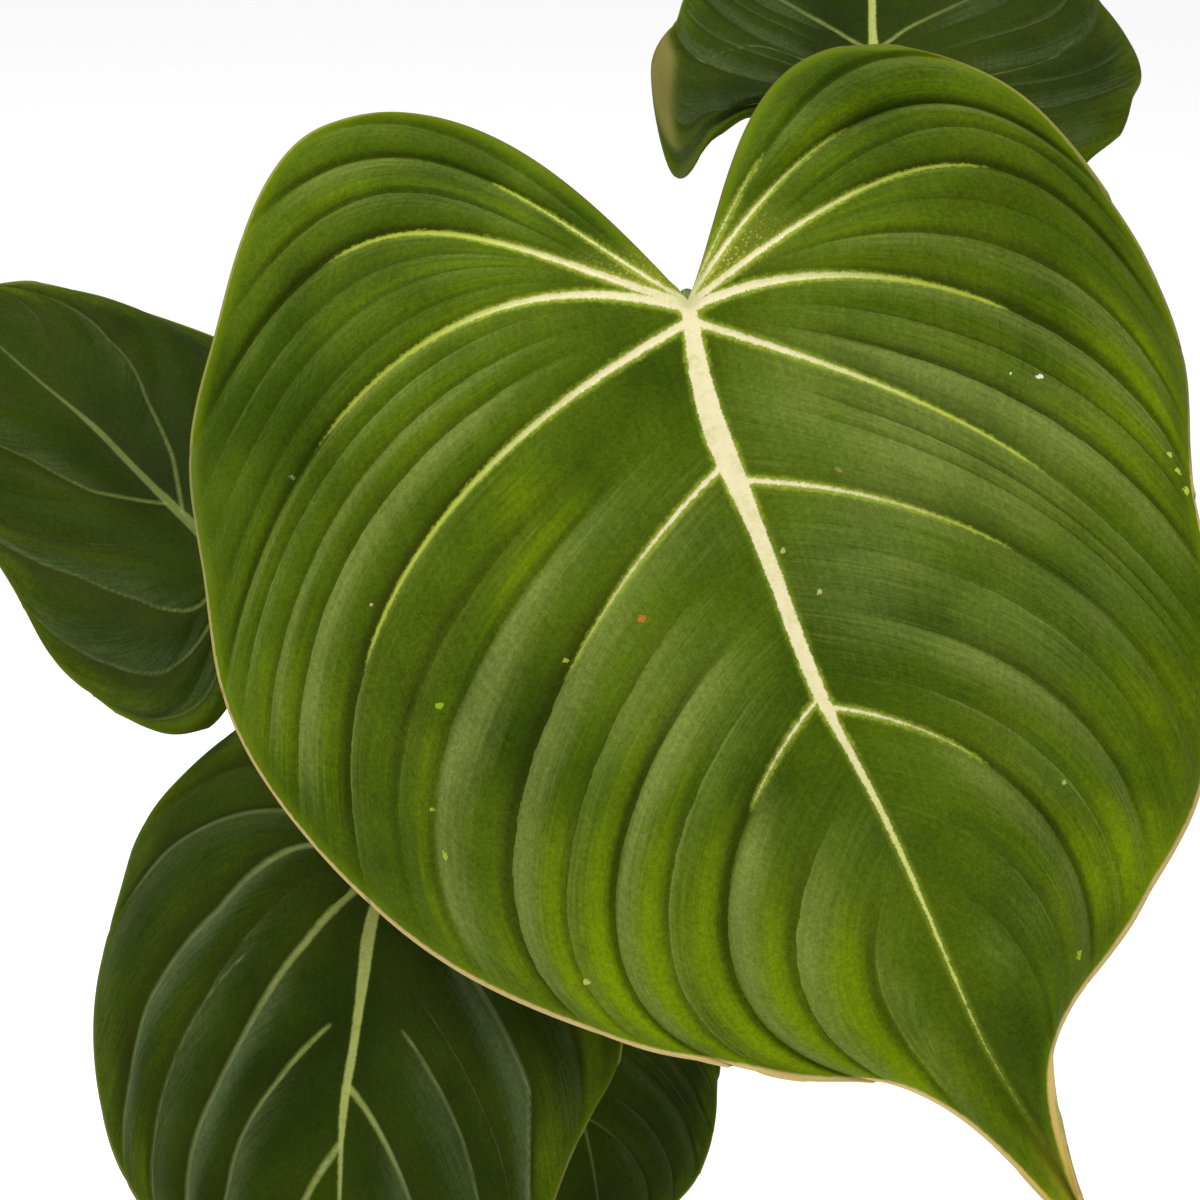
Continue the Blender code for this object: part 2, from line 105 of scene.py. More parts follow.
# Blade pattern of the large leaf. The first number runs across the blade, to the right as its upper face is
# seen with the tip down, and the second from the joint towards the tip.
MIDRIB = [(0, 0), (-6, 26), (-7, 52), (-8, 78), (-9, 104), (-7, 130), (-6, 156), (-6, 182), (-5, 208),
          (-1, 234), (2, 270)]
LEFT_VEINS = [
    (151, (-34, 178), (-20, 192)), (104, (-49, 123), (-79, 170)), (78, (-49, 86), (-111, 144)),
    (41, (-52, 56), (-128, 112)), (5, (-66, 11), (-127, 37)), (2, (-55, -42), (-117, -6)),
    (1, (-48, -41), (-64, -74)), (0, (-26, -33), (-42, -87)), (0, (-10, -29), (-21, -62)),
]
LEFT_MARGIN = [(2, 270), (-7, 246), (-15, 225), (-24, 210), (-34, 201), (-50, 193), (-66, 182), (-80, 173),
               (-94, 162), (-118, 138), (-136, 109), (-147, 77), (-150, 44), (-142, 14), (-133, -17),
               (-115, -42), (-97, -64), (-74, -80), (-50, -77)]
RIGHT_VEINS = [
    (151, (13, 168), (19, 197)), (107, (25, 126), (44, 165)), (79, (31, 100), (65, 136)),
    (46, (38, 67), (79, 111)), (5, (43, 44), (75, 72)), (2, (48, 0), (104, 48)),
    (1, (60, -14), (101, -21)), (0, (43, -29), (88, -43)), (0, (22, -22), (39, -60)),
]
RIGHT_MARGIN = [(2, 270), (2, 245), (6, 219), (16, 205), (25, 199), (38, 191), (48, 183), (60, 174),
                (72, 163), (81, 149), (88, 135), (94, 116), (98, 97), (105, 79), (112, 61), (113, 39),
                (110, 19), (99, -15), (76, -39)]
HALVES = ((-1, LEFT_VEINS, LEFT_MARGIN), (1, RIGHT_VEINS, RIGHT_MARGIN))
PLACES = len(LEFT_VEINS)
TIP_DOWN = MIDRIB[-1][1]
HALF_WIDTH = 125.0
PLEAT_DEPTH = 3.2
PLEAT_SHARE = 0.13
CREASE_SHARE = 0.17
VALLEY_DEPTH = 5.0
VALLEY_WIDTH = 22.0
VALLEY_SHIFT = 6.0
BLADE_THICKNESS = 0.7
MIDRIB_DEPTH = 2.6
# Where the lobes and the tip start to fall and how far their fall reaches, and how steeply each fall grows
LOBE_START, LOBE_REACH = 12, 85
TIP_START, TIP_REACH = 110, 136
SIDE_CURVE, END_CURVE = 2.1, 1.8
# How far round its wave the margin goes from one place to the next
MARGIN_WAVES = 2.4
# Where on the pattern a right lobe starts to hang and hangs fully, and where it is no longer drawn in
HANG_ACROSS = (80, 110)
HANG_DOWN = (-60, 20)
TUCK_ACROSS = (62, 98)
# The groove over a vein, and the keel under the midrib and the ridges under the veins
GROOVE_DEPTH, GROOVE_WIDTH = 0.55, 0.9
KEEL_WIDTH = 1.4
RIDGE_DEPTH, RIDGE_WIDTH = 0.9, 1.1

# Curves of the lower-left and left blades that are both a pale vein and a crease, as (share of the way from
# midrib to margin, place)
LOW_BROAD = [(0, 5.1), (0.17, 4.42), (0.33, 4.0), (0.47, 3.53), (0.69, 3.08), (1, 2.8)]
LOW_OUTER = [(0, 5.8), (0.21, 5.55), (0.45, 5.05), (0.72, 4.9), (0.82, 4.65), (1, 4.5)]
LOW_TIPWARD = [(0, 2.56), (0.4, 2.38), (1, 2.2)]
LOW_MIDDLE = [(0, 3.85), (0.5, 3.68), (1, 3.4)]
LEFT_TIPWARD = [(0, 3.98), (0.25, 3.7), (0.42, 3.15), (0.54, 2.98), (1, 2.6)]
LEFT_LOBE = [(0, 8.2), (0.42, 7.03), (0.68, 6.58), (1, 6.3)]
LEFT_NOTCH = [(0, 8.8), (0.62, 8.3), (1, 7.8)]
# Pale veins of each half as (where, half width at the midrib, share of the vein at which it has faded). Where
# is the vein's place, or a curve as above. A fourth number is the share before which the line stays hidden.
LARGE_LINES = {
    -1: [(2, 0.6, 0.3), (4, 0.78, 0.46), (5, 1.2, 0.76), (6, 1.25, 0.68), (7, 1.15, 0.7), (8, 0.6, 0.52)],
    1: [(2, 0.6, 0.46), (4, 0.75, 0.55), (5, 1.0, 0.68), (6, 1.3, 0.62), (7, 0.98, 0.62), (8, 0.75, 0.5),
        (8.6, 0.4, 0.42)],
}
LOW_LINES = {
    -1: [(LOW_BROAD, 1.5, 1.2), (LOW_OUTER, 1.4, 1.1), (6.18, 1.2, 1.0),
         ([(0, 3.6), (0.21, 3.1), (0.4, 2.6), (0.48, 2.35), (1, 1.7)], 0.9, 1.0, 0.16),
         ([(0, 1.78), (0.16, 1.5), (1, 0.9)], 1.3, 0.9),
         ([(0, 4.9), (0.48, 4.42), (0.76, 4.1), (1, 4)], 0.45, 1.1, 0.55)],
    1: [(LOW_TIPWARD, 1.2, 0.9), (LOW_MIDDLE, 0.55, 0.9, 0.3),
        ([(0, 5.35), (0.7, 5.33), (0.87, 4.93), (1, 4.6)], 1.1, 1.2)],
}
LEFT_LINES = {
    -1: [([(0, 4.1), (0.16, 3.62), (0.29, 2.85), (0.49, 2.23), (1, 1.8)], 0.7, 0.9)],
    1: [(LEFT_TIPWARD, 0.6, 0.95), ([(0, 6.9), (0.17, 6.65), (0.38, 5.85), (0.58, 5.45), (1, 5.1)], 0.7, 1.0),
        (LEFT_LOBE, 0.6, 1.1), (LEFT_NOTCH, 0.5, 1.1)],
}
BACK_LINES = {
    -1: [([(0, 3.85), (0.13, 3.65), (1, 3.6)], 1.2, 0.6),
         ([(0, 5.3), (0.38, 5.2), (0.65, 4.95), (1, 4.8)], 0.9, 0.8), (2, 1, 0.8), (7, 0.6, 0.9)],
    1: [([(0, 4.0), (0.15, 3.8), (0.39, 3.68), (1, 3.5)], 1.2, 0.7), (2, 1, 0.8),
        ([(0, 4.8), (0.24, 4.98), (0.52, 5.43), (0.63, 5.98), (1, 6.2)], 0.8, 0.9)],
}
SMALL_LINES = {
    -1: [(2, 0.3, 0.8), (4, 0.4, 0.9), (5, 0.4, 0.95), (6, 0.4, 0.95), (7, 0.3, 0.85)],
    1: [(2, 0.2, 0.8), (4, 0.2, 0.9), (5, 0.3, 0.95), (6, 0.3, 0.95), (7, 0.3, 0.85)],
}
# Creases between the pleats of each half from the tip to the notch, as (where, how sharp, how much painted
# light and sheen lies on the flank beside it towards the tip, how dark the painted shade in its trough is, how
# yellow the hollow on the notch's side is)
LARGE_CREASES = {
    -1: [(0, 0, 0, 0, 0.9), (1.06, 0.6, 0.5, 0.6, 0.7), (1.55, 0.8, 0.75, 0.7, 0.5), (2, 1, 1, 1, 0.8),
         (2.5, 0.35, 0.35, 0.3, 0.75), (3, 1, 0.9, 0.85, 0.9), (3.47, 0.4, 0.45, 0.2, 0.6),
         (4, 1, 0.9, 0.8, 0.35), (4.46, 0.95, 1, 0.12, 1), (4.66, 0.4, 0.3, 0.6, 0.1), (5, 0.6, 0.3, 1, 0.25),
         (5.38, 0.95, 0.95, 0.35, 0.5), (5.59, 0.85, 0.8, 0.45, 0.5), (5.81, 0.7, 0.6, 0.2, 0.4),
         (6, 1, 0.9, 0.35, 0.75), (6.25, 0.4, 0.4, 0.2, 0.5), (6.55, 0.7, 0.5, 0.3, 0.6),
         (6.75, 0.5, 0.45, 0.4, 0.2), (7, 1, 0.7, 0.9, 0.05), (7.45, 0.6, 0.5, 0.55, 0.8),
         (8, 0.7, 0.7, 0.55, 0.3), (8.4, 0.4, 0.4, 0.2, 0.1), (9, 0, 0, 0, 0)],
    1: [(0, 0, 0, 0, 0.7), (1, 0.3, 0.25, 0.3, 0.5), (1.4, 0.15, 0.15, 0.1, 0.6), (2, 0.65, 0.55, 0.5, 0.6),
        (2.42, 0.2, 0.2, 0.15, 0.5), (3, 0.45, 0.55, 0.35, 0.3), (3.5, 0.15, 0.15, 0.15, 0.2),
        (4, 0.25, 0.3, 0.15, 0.1), (4.62, 0.5, 0.25, 0.8, 0.1), (4.78, 0.3, 0.2, 0.6, 0.1),
        (5, 0.3, 0.25, 0.1, 0.15), (5.42, 0.8, 0.55, 1, 0.35), (5.7, 0.25, 0.25, 0.15, 0.35),
        (6, 0.75, 0.65, 0.6, 0.7), (6.4, 0.7, 0.65, 0.6, 0.7), (6.7, 0.3, 0.2, 0.2, 0.5),
        (7, 0.75, 0.55, 0.8, 0.1), (7.38, 0.45, 0.4, 0.35, 0.4), (8, 0.8, 0.75, 0.3, 0.75),
        (8.55, 0.6, 0.6, 0.5, 0.2), (9, 0, 0, 0, 0)],
}
OTHER_CREASES = dict.fromkeys((-1, 1), [
    (0, 0, 0, 0, 0.3), (1, 0.3, 0.3, 0.2, 0.3), (2, 0.8, 0.6, 0.5, 0.2), (3, 0.5, 0.5, 0.4, 0.2),
    (4, 0.9, 0.7, 0.6, 0.2), (4.5, 0.35, 0.3, 0.3, 0.2), (5, 1, 0.7, 0.6, 0.2), (5.5, 0.4, 0.3, 0.3, 0.3),
    (6, 1, 0.7, 0.6, 0.3), (7, 0.7, 0.6, 0.5, 0.3), (8, 0.6, 0.5, 0.4, 0.2), (9, 0, 0, 0, 0),
])
LOW_CREASES = {
    -1: [(0, 0, 0, 0, 0.3), (1, 0.4, 0.3, 0.3, 0.2), ([(0, 1.78), (0.16, 1.5), (1, 1.3)], 0.7, 0.5, 0.4, 0.2),
         ([(0, 3.6), (0.21, 3.1), (0.4, 2.6), (0.48, 2.35), (1, 2.0)], 0.9, 0.8, 0.6, 0.2),
         (LOW_BROAD, 1, 1, 0.8, 0.2), ([(0, 5.4), (0.48, 4.42), (0.76, 4.1), (1, 4)], 0.6, 0.5, 0.4, 0.5),
         (LOW_OUTER, 1, 0.9, 0.7, 0.5),
         (6.18, 0.8, 0.5, 0.6, 0.2), (7, 0.5, 0.3, 0.3, 0.2), (8, 0.5, 0.3, 0.3, 0.2), (9, 0, 0, 0, 0)],
    1: [(0, 0, 0, 0, 0.3), (1, 0.4, 0.3, 0.3, 0.2), (LOW_TIPWARD, 0.8, 0.7, 0.4, 0.2),
        (LOW_MIDDLE, 0.7, 0.6, 0.6, 0.3), (4.4, 0.4, 0.2, 0.6, 0.2),
        ([(0, 5.35), (0.7, 5.33), (0.87, 4.93), (1, 4.8)], 1, 1, 0.5, 0.5), (6.1, 0.6, 0.5, 0.3, 0.8),
        (7, 0.5, 0.4, 0.3, 0.4), (8, 0.5, 0.3, 0.3, 0.2), (9, 0, 0, 0, 0)],
}
LEFT_CREASES = {
    -1: [(0, 0, 0, 0, 0.4), (1.4, 0.3, 0.2, 0.3, 0.4),
         ([(0, 4.1), (0.16, 3.62), (0.29, 2.85), (0.49, 2.23), (1, 1.9)], 0.6, 0.5, 0.3, 0.3),
         (4.4, 0.5, 0.3, 0.3, 0.3), (5.5, 0.5, 0.3, 0.3, 0.3), (7, 0.5, 0.3, 0.3, 0.3), (9, 0, 0, 0, 0)],
    1: [(0, 0, 0, 0, 0.3), (1.5, 0.4, 0.3, 0.3, 0.3), (LEFT_TIPWARD, 0.7, 0.5, 0.5, 0.5),
        (4.9, 0.3, 0.2, 0.2, 0.6),
        ([(0, 6.9), (0.17, 6.65), (0.38, 5.85), (0.58, 5.45), (1, 5.2)], 0.8, 0.6, 0.6, 0.1),
        (LEFT_LOBE, 0.8, 0.6, 0.5, 0.1), (LEFT_NOTCH, 0.6, 0.5, 0.4, 0.1), (9, 0, 0, 0, 0)],
}
LINES = {"large": LARGE_LINES, "low": LOW_LINES, "left": LEFT_LINES, "back": BACK_LINES,
         "small": SMALL_LINES}
CREASES = {"large": LARGE_CREASES, "low": LOW_CREASES, "left": LEFT_CREASES}
# Half width of the midrib's pale band by distance from the joint
MIDRIB_HALF_WIDTH = [(0, 1.8), (10, 2.1), (20, 2.6), (34, 3.1), (42, 2.9), (58, 2.1), (75, 1.85), (98, 1.8),
                     (106, 1.55), (114, 1.0), (145, 0.65), (165, 0.45), (190, 0.25), (215, 0.0), (240, -0.3),
                     (270, -0.8)]
# How strongly the midrib and the other veins of each blade show, from 0 to 1
STRENGTHS = {"large": (1.0, 1.0), "low": (0.85, 0.62), "left": (0.3, 0.3), "small": (0.25, 0.2),
             "back": (1.0, 0.5)}
# Faces of each blade's mesh: from one place to the next, and from midrib to margin, where rows lie closer
# near the midrib
GRIDS = {"large": (26, 64), "low": (22, 56), "left": (22, 56), "back": (16, 44), "small": (12, 44)}
ROW_CROWDING = 1.3
# Points along a vein and along a half's rim when distances are measured, and how far off a vein still counts
LINE_POINTS = 60
RIM_POINTS = 150
VEIN_REACH = 9.0
# Flecks on the large blade: half, place, share of the way to the margin, radius in mm and colour
FLECKS = [
    (1, 5.65, 0.583, 0.75, (236, 232, 206)), (1, 5.575, 0.533, 0.4, (214, 214, 160)),
    (-1, 3.725, 0.25, 0.95, (176, 104, 40)), (1, 4.175, 0.183, 0.75, (150, 128, 78)),
    (1, 3.425, 0.033, 0.55, (176, 168, 92)), (1, 3.125, 0.075, 0.65, (186, 182, 108)),
    (-1, 4.55, 0.575, 0.8, (142, 168, 36)), (-1, 4.05, 0.375, 0.6, (170, 190, 60)),
    (-1, 4.475, 0.717, 0.7, (150, 172, 48)), (-1, 4.4, 0.767, 0.8, (150, 172, 48)),
    (-1, 3.45, 0.8, 0.8, (178, 186, 84)), (1, 1.725, 0.875, 0.9, (168, 182, 30)),
    (1, 2.375, 0.6, 0.6, (168, 178, 88)), (1, 5.9, 0.883, 0.7, (196, 204, 80)),
    (1, 5.875, 0.908, 0.9, (186, 198, 70)), (1, 5.825, 0.933, 0.8, (186, 198, 70)),
    (-1, 6.05, 0.68, 0.8, (150, 168, 110)), (-1, 5.1, 0.6, 0.35, (190, 176, 130)),
]
# Soft patches on the large blade's pattern where it is yellower, partly as painted light, greyer with painted
# sheen and deeper with painted shade, as (across, down, radius, amount)
YELLOW_AND_PAINTED_LIGHT_AT = [(-46, 178, 30, 0.8), (-85, 150, 34, 0.7), (46, 172, 20, 0.8), (72, 140, 26, 0.6),
             (2, 266, 20, 1.0), (-26, 204, 16, 0.7), (14, 214, 9, 0.8), (-128, 70, 26, 0.4),
             (-60, 12, 20, 0.3), (50, -22, 24, 0.4), (-60, -40, 24, 0.3), (95, 70, 26, 0.45),
             (-58, 28, 14, 0.6)]
PAINTED_SHEEN_AT = [(-22, 52, 22, 0.6), (16, 34, 24, 0.9), (36, 54, 32, 1.0), (58, 70, 28, 0.8), (-36, 92, 26, 0.7),
           (14, 78, 28, 0.9), (38, 108, 28, 0.7), (64, 106, 26, 0.55), (-95, 70, 26, 0.4),
           (-14, 140, 24, 0.5), (14, 172, 20, 0.45), (30, 138, 24, 0.45)]
PAINTED_SHADE_AT = [(-98, 62, 22, 0.7), (-66, 66, 16, 0.5), (-104, 96, 20, 0.55), (-108, -6, 20, 0.5),
           (-70, -34, 16, 0.45), (-88, -48, 16, 0.5), (58, -24, 18, 0.5), (78, 8, 22, 0.5),
           (60, 24, 16, 0.25), (24, 124, 14, 0.3), (-22, 118, 16, 0.25), (0, 200, 14, 0.55),
           (6, 168, 14, 0.35), (-44, -58, 14, 0.4), (-24, 18, 16, 0.35)]


def leaf(name, joint, turn, lean, swing, size, stalk, width=1.0, belly=0.0, lobe=1.0, tuck=0.0, droop=0.0,
         large=False, **falls):
    """One leaf: the joint between stalk and blade, the blade's turn, lean and swing in degrees, its size
    and width against the pattern, how far its flanks lie towards the tip, how long its lobes are, how far
    the right lobe's inner edge is drawn in and the lobe hangs, how far sides, lobes and tip fall, and how
    high the margin waves and where its waves start."""
    return dict(name=name, joint=joint, turn=turn, lean=lean, swing=swing, size=size, stalk=stalk,
                width=width, belly=belly, lobe=lobe, tuck=tuck, droop=droop, large=large, **falls)


# A stalk is (its place along the creeping stem, radius at foot and top, how far it bows out, and how far
# its middle sways along X).
LEAVES = [
    leaf("large", (69, -80, 550), 0, 25, 23.5, 1.0, (27, 5.4, 3.6, 40, 0), large=True,
         side_fall=30, lobe_fall=26, tip_fall=30, wave=3.0, wave_start=0.0),
    leaf("left", (-57, -9, 442), 0, 54, -136, 0.63, (-50, 4.4, 2.8, 15, 24),
         width=0.72, belly=-39, lobe=0.86, side_fall=19, lobe_fall=13, tip_fall=14, wave=2.0, wave_start=1.0),
    leaf("low", (-9, -82, 391), -25, 27, 5, 0.67, (-24, 4.6, 2.9, 15, -34),
         width=0.92, belly=9, lobe=0.72, side_fall=17, lobe_fall=15, tip_fall=14, wave=2.0, wave_start=2.0),
    leaf("small", (39, -34, 330), 3, 22, 7, 0.41, (2, 3.6, 2.3, 10, 0), width=0.92,
         side_fall=14, lobe_fall=14, tip_fall=14, wave=1.5, wave_start=3.0),
    leaf("back", (120, 25, 570), -10, 73, 190, 0.51, (52, 4.6, 2.9, 30, 0),
         width=1.02, belly=-4, tuck=0.85, droop=40, side_fall=16, lobe_fall=14, tip_fall=14, wave=2.0,
         wave_start=4.0),
]

# Stage, in metres. The camera looks along +Y from 25 degrees above the horizon, 900 mm from the large blade.
CAMERA_PLACE = (0.047, -0.9274, 0.8624)
CAMERA_PITCH = 65.0
LIGHTS_AIM = (0.05, 0, 0.4)
KEY_PLACE, KEY_SIZE = (-0.5, -0.35, 2.1), 1.5
FILL_PLACE, FILL_SIZE = (1.2, -1.9, 1.2), 1.6


def paint(red, green, blue):
    """A colour from 0 to 255, as screens give it, in the linear values that shaders take."""
    return tuple(c / 12.92 if c <= 0.04045 else ((c + 0.055) / 1.055)**2.4
                 for c in (red / 255, green / 255, blue / 255))


# The first colour is the olive of the painted shade in the pleats' troughs
TROUGH_PAINTED_SHADE = paint(56, 60, 0)
JOINT_YELLOW = paint(176, 176, 70)
VEIN_IVORY = paint(236, 226, 196)
TIP_YELLOW = paint(176, 166, 44)
FOLD_TAN = paint(112, 106, 54)


# Curves and blade pattern


def curve_through(knots, values, at):
    """Natural cubic spline through values at the knots, read at the places in at."""
    knots, values, at = np.asarray(knots, float), np.asarray(values, float), np.asarray(at, float)
    steps = np.diff(knots)
    count = len(knots)
    matrix = np.eye(count)
    right = np.zeros((count, values.shape[1]))
    for i in range(1, count - 1):
        matrix[i, i - 1:i + 2] = steps[i - 1], 2 * (steps[i - 1] + steps[i]), steps[i]
        right[i] = 6 * ((values[i + 1] - values[i]) / steps[i] - (values[i] - values[i - 1]) / steps[i - 1])
    bend = np.linalg.solve(matrix, right)
    i = np.clip(np.searchsorted(knots, at, side="right") - 1, 0, count - 2)
    h = steps[i][..., None]
    a = (knots[i + 1] - at)[..., None] / h
    b = 1 - a
    return (a * values[i] + b * values[i + 1]
            + ((a**3 - a) * bend[i] + (b**3 - b) * bend[i + 1]) * h**2 / 6)


def midrib_at(distance):
    """Points of the midrib at distances down from the joint."""
    line = np.array(MIDRIB, float)
    across = curve_through(line[:, 1], line[:, :1], distance)
    return np.concatenate([across, np.asarray(distance, float)[..., None]], axis=-1)


def half_pattern(veins, margin, place, along):
    """Points of a half blade. place runs from 0 at the tip by one for each vein to the notch, and along
    from 0 at the midrib to 1 at the margin."""
    keys = np.arange(len(veins) + 1)
    starts = np.array([TIP_DOWN] + [vein[0] for vein in veins], float)
    start = midrib_at(np.interp(place, keys, starts))
    end = curve_through(np.linspace(0, (len(margin) - 1) / 2, len(margin)), np.array(margin, float), place)
    first = np.array([vein[1] for vein in veins], float) - midrib_at(starts[1:])
    second = np.array([vein[2] for vein in veins], float) - np.array(margin[2::2], float)
    bends = curve_through(keys[1:], np.hstack([first, second]), np.maximum(place, 1))
    bends = bends * (np.minimum(place, 1)**2)[..., None]
    t = along[..., None]
    return ((1 - t)**3 * start + 3 * (1 - t)**2 * t * (start + bends[..., :2])
            + 3 * (1 - t) * t**2 * (end + bends[..., 2:]) + t**3 * end)


def flat_pattern(side, place, along):
    """The pattern's points where side is -1 on the left half and 1 on the right."""
    left, right = [half_pattern(veins, margin, place, along) for _, veins, margin in HALVES]
    return np.where((side < 0)[..., None], left, right)


def ramp(value, low, high):
    """Rises smoothly from 0 to 1 between low and high."""
    share = np.clip((value - low) / (high - low), 0, 1)
    return share * share * (3 - 2 * share)


def places_of(where, along):
    """The places a vein or crease runs through at shares of the way from midrib to margin."""
    if isinstance(where, list):
        knots = np.array(where, float)
        return np.interp(along, knots[:, 0], knots[:, 1])
    return np.full(np.shape(along), float(where))


def pleats_at(one, side, place, along):
    """For each point: how many creases lie between it and the tip, with the share of its own pleat that it has
    crossed, how sharp the creases round it are, how wide its pleat is in places, and the amounts of painted
    light, painted shade and yellow on it."""
    count, force, width, light, dark, warm = made = [np.zeros(place.shape) for _ in range(6)]
    for half in (-1, 1):
        creases = CREASES.get(one["name"], OTHER_CREASES)[half]
        amounts = np.array([crease[1:] for crease in creases], float)
        for value in np.unique(along):
            here = (side == half) & (along == value)
            spots = np.array([places_of(crease[0], value) for crease in creases], float)
            count[here] = np.interp(place[here], spots, np.arange(len(spots)))
            force[here] = np.interp(place[here], spots, amounts[:, 0])
            index = np.clip(count[here].astype(int), 0, len(spots) - 2)
            width[here] = np.diff(spots)[index]
            light[here] = amounts[index + 1, 1]
            dark[here] = amounts[index, 2]
            warm[here] = amounts[index, 3]
    return made


def relief(points, place, along, spacing, one, pleats):
    """Height of the upper face over the pattern's plane: fall of the sides, lobes and tip, the valley at
    the midrib, the waved margin and the pleats, which arch up between their creases."""
    across, down = points[..., 0], points[..., 1]
    reach = np.abs(across) / HALF_WIDTH
    lobes = np.clip(LOBE_START - down, 0, None) / LOBE_REACH
    tip = np.clip(down - TIP_START, 0, None) / TIP_REACH
    height = (-one["side_fall"] * reach**SIDE_CURVE - one["lobe_fall"] * lobes**END_CURVE
              - one["tip_fall"] * tip**END_CURVE)
    valley = 1 - np.exp(-(np.abs(across + VALLEY_SHIFT) / VALLEY_WIDTH)**2)
    height = height + VALLEY_DEPTH * valley * np.exp(-tip)
    height = height + one["wave"] * along**3 * np.sin(MARGIN_WAVES * place + one["wave_start"])
    height = height - one["droop"] * ramp(across, *HANG_ACROSS) * ramp(-down, *HANG_DOWN)
    count, force, width = pleats[:3]
    share = count - np.floor(count)
    depth = np.minimum(PLEAT_DEPTH, CREASE_SHARE * spacing * width)
    ease = ramp(along, 0.03, 0.42) * (1 - 0.8 * ramp(along, 0.86, 1.0))
    broad = np.minimum(PLEAT_DEPTH, PLEAT_SHARE * spacing) * 0.62 * np.abs(np.sin(math.pi * place))
    arch = 0.85 * depth * np.sin(math.pi * share)**0.85 * (0.35 + 0.65 * force)
    seat = 0.35 * depth * (1 - force)
    ripple = np.sin(9 * along + 3.7 * place) * np.sin(2.9 * place + 1.3)
    swell = np.sin(math.pi * np.clip(along, 0.0, 0.9))**0.6
    return height + broad * swell + (arch + seat) * ease + 0.4 * ripple * ramp(along, 0.1, 0.5)


def blade_grid(one, side, place, along):
    """Upper face of the blade in the leaf's own axes, and the same points before relief and warps."""
    flat = flat_pattern(side, place, along)
    step = 0.02
    spacing = np.linalg.norm(flat_pattern(side, np.abs(place - step), along) - flat, axis=-1) / step
    height = relief(flat, place, along, spacing, one, pleats_at(one, side, place, along))
    across, down = flat[..., 0], flat[..., 1]
    drawn = 1 - one["tuck"] * (1 - ramp(across, *TUCK_ACROSS)) * ramp(across, 0, 20)
    down = np.where(down < 0, down * one["lobe"] * drawn, down) + one["belly"] * (across / HALF_WIDTH)**2
    return np.stack([across, down, height], axis=-1), flat


def blade_axes(one):
    """Matrix whose columns are the blade's across, tipward and upward directions."""
    rest = Matrix(((1, 0, 0), (0, 0, -1), (0, -1, 0)))
    turned = (Matrix.Rotation(math.radians(one["turn"]), 3, "Z")
              @ Matrix.Rotation(math.radians(-one["lean"]), 3, "X")
              @ Matrix.Rotation(math.radians(-one["swing"]), 3, "Y"))
    return np.array(turned @ rest)


def blade_to_world(one, points):
    """Points of the leaf's own axes in the shared frame, in millimetres."""
    size = one["size"] * np.array([one["width"], 1, 1])
    return np.asarray(points) * size @ blade_axes(one).T + np.array(one["joint"], float)


def nearest_on(line, points):
    """Distance from each point to a polyline, and how far along it the nearest place lies, 0 to 1."""
    best = np.full(len(points), np.inf)
    where = np.zeros(len(points))
    lengths = np.linalg.norm(np.diff(line, axis=0), axis=1)
    total = np.concatenate([[0], np.cumsum(lengths)])
    for k in range(len(line) - 1):
        edge = line[k + 1] - line[k]
        share = np.clip((points - line[k]) @ edge / max(edge @ edge, 1e-9), 0, 1)
        gap = np.linalg.norm(points - line[k] - share[:, None] * edge, axis=1)
        closer = gap < best
        best[closer] = gap[closer]
        where[closer] = (total[k] + share * lengths[k])[closer] / total[-1]
    return best, where


def line_distances(one, side, flat):
    """For each point of the pattern: millimetres to the edge of the nearest pale vein, less than 0 on the vein,
    how much of that vein shows there, and millimetres to the edge of the midrib's band and to the outline."""
    t = np.linspace(0, 1, LINE_POINTS)
    vein = np.full(len(flat), VEIN_REACH)
    shown = np.zeros(len(flat))
    for half, veins, margin in HALVES:
        on_half = side == half
        for where, wide, fade, *hidden in LINES[one["name"]][half]:
            line = half_pattern(veins, margin, places_of(where, t), t)
            gap, share = nearest_on(line, flat[on_half])
            left = np.clip(1 - share / fade, -1, 1)
            if hidden:
                left = np.where(share < hidden[0], share / hidden[0] * 1.4 - 0.7, left)
            half_width = wide * np.where(left > 0, 0.2 + 0.8 * np.maximum(left, 0)**1.25, 0.2 + 1.5 * left)
            best = gap - half_width
            nearer = best < vein[on_half]
            vein[on_half] = np.where(nearer, best, vein[on_half])
            shown[on_half] = np.where(nearer, ramp(left, -0.12, 0.2), shown[on_half])
    ribs = midrib_at(np.linspace(0, TIP_DOWN, LINE_POINTS))
    gap, share = nearest_on(ribs, flat)
    table = np.array(MIDRIB_HALF_WIDTH, float)
    rib = gap - np.interp(share * TIP_DOWN, table[:, 0], table[:, 1])
    ends = np.linspace(0, PLACES, RIM_POINTS)
    outline = np.zeros(len(flat))
    for half, veins, margin in HALVES:
        on_half = side == half
        rim = half_pattern(veins, margin, ends, np.ones_like(ends))
        notch = half_pattern(veins, margin, np.full(len(t), float(PLACES)), t)[::-1]
        outline[on_half] = nearest_on(np.vstack([rim, notch]), flat[on_half])[0]
    return vein, shown, rib, outline


# Modelling steps shared by the pieces


def choose(*objects):
    """Selects these objects alone, and makes the first one active."""
    if bpy.context.mode != "OBJECT":
        bpy.ops.object.mode_set(mode="OBJECT")
    bpy.ops.object.select_all(action="DESELECT")
    for obj in objects:
        obj.select_set(True)
    if objects:
        bpy.context.view_layer.objects.active = objects[0]


def new_grid(name, columns, rows):
    """A grid of columns by rows faces, whose vertices are then moved. Returns the object and each
    vertex's column and row."""
    choose()
    bpy.ops.mesh.primitive_grid_add(x_subdivisions=columns, y_subdivisions=rows, size=2, calc_uvs=True)
    obj = bpy.context.active_object
    obj.name = name
    obj.data.name = name
    spots = read_points(obj)
    column = np.rint((spots[:, 0] + 1) / 2 * columns).astype(int)
    row = np.rint((spots[:, 1] + 1) / 2 * rows).astype(int)
    return obj, column, row


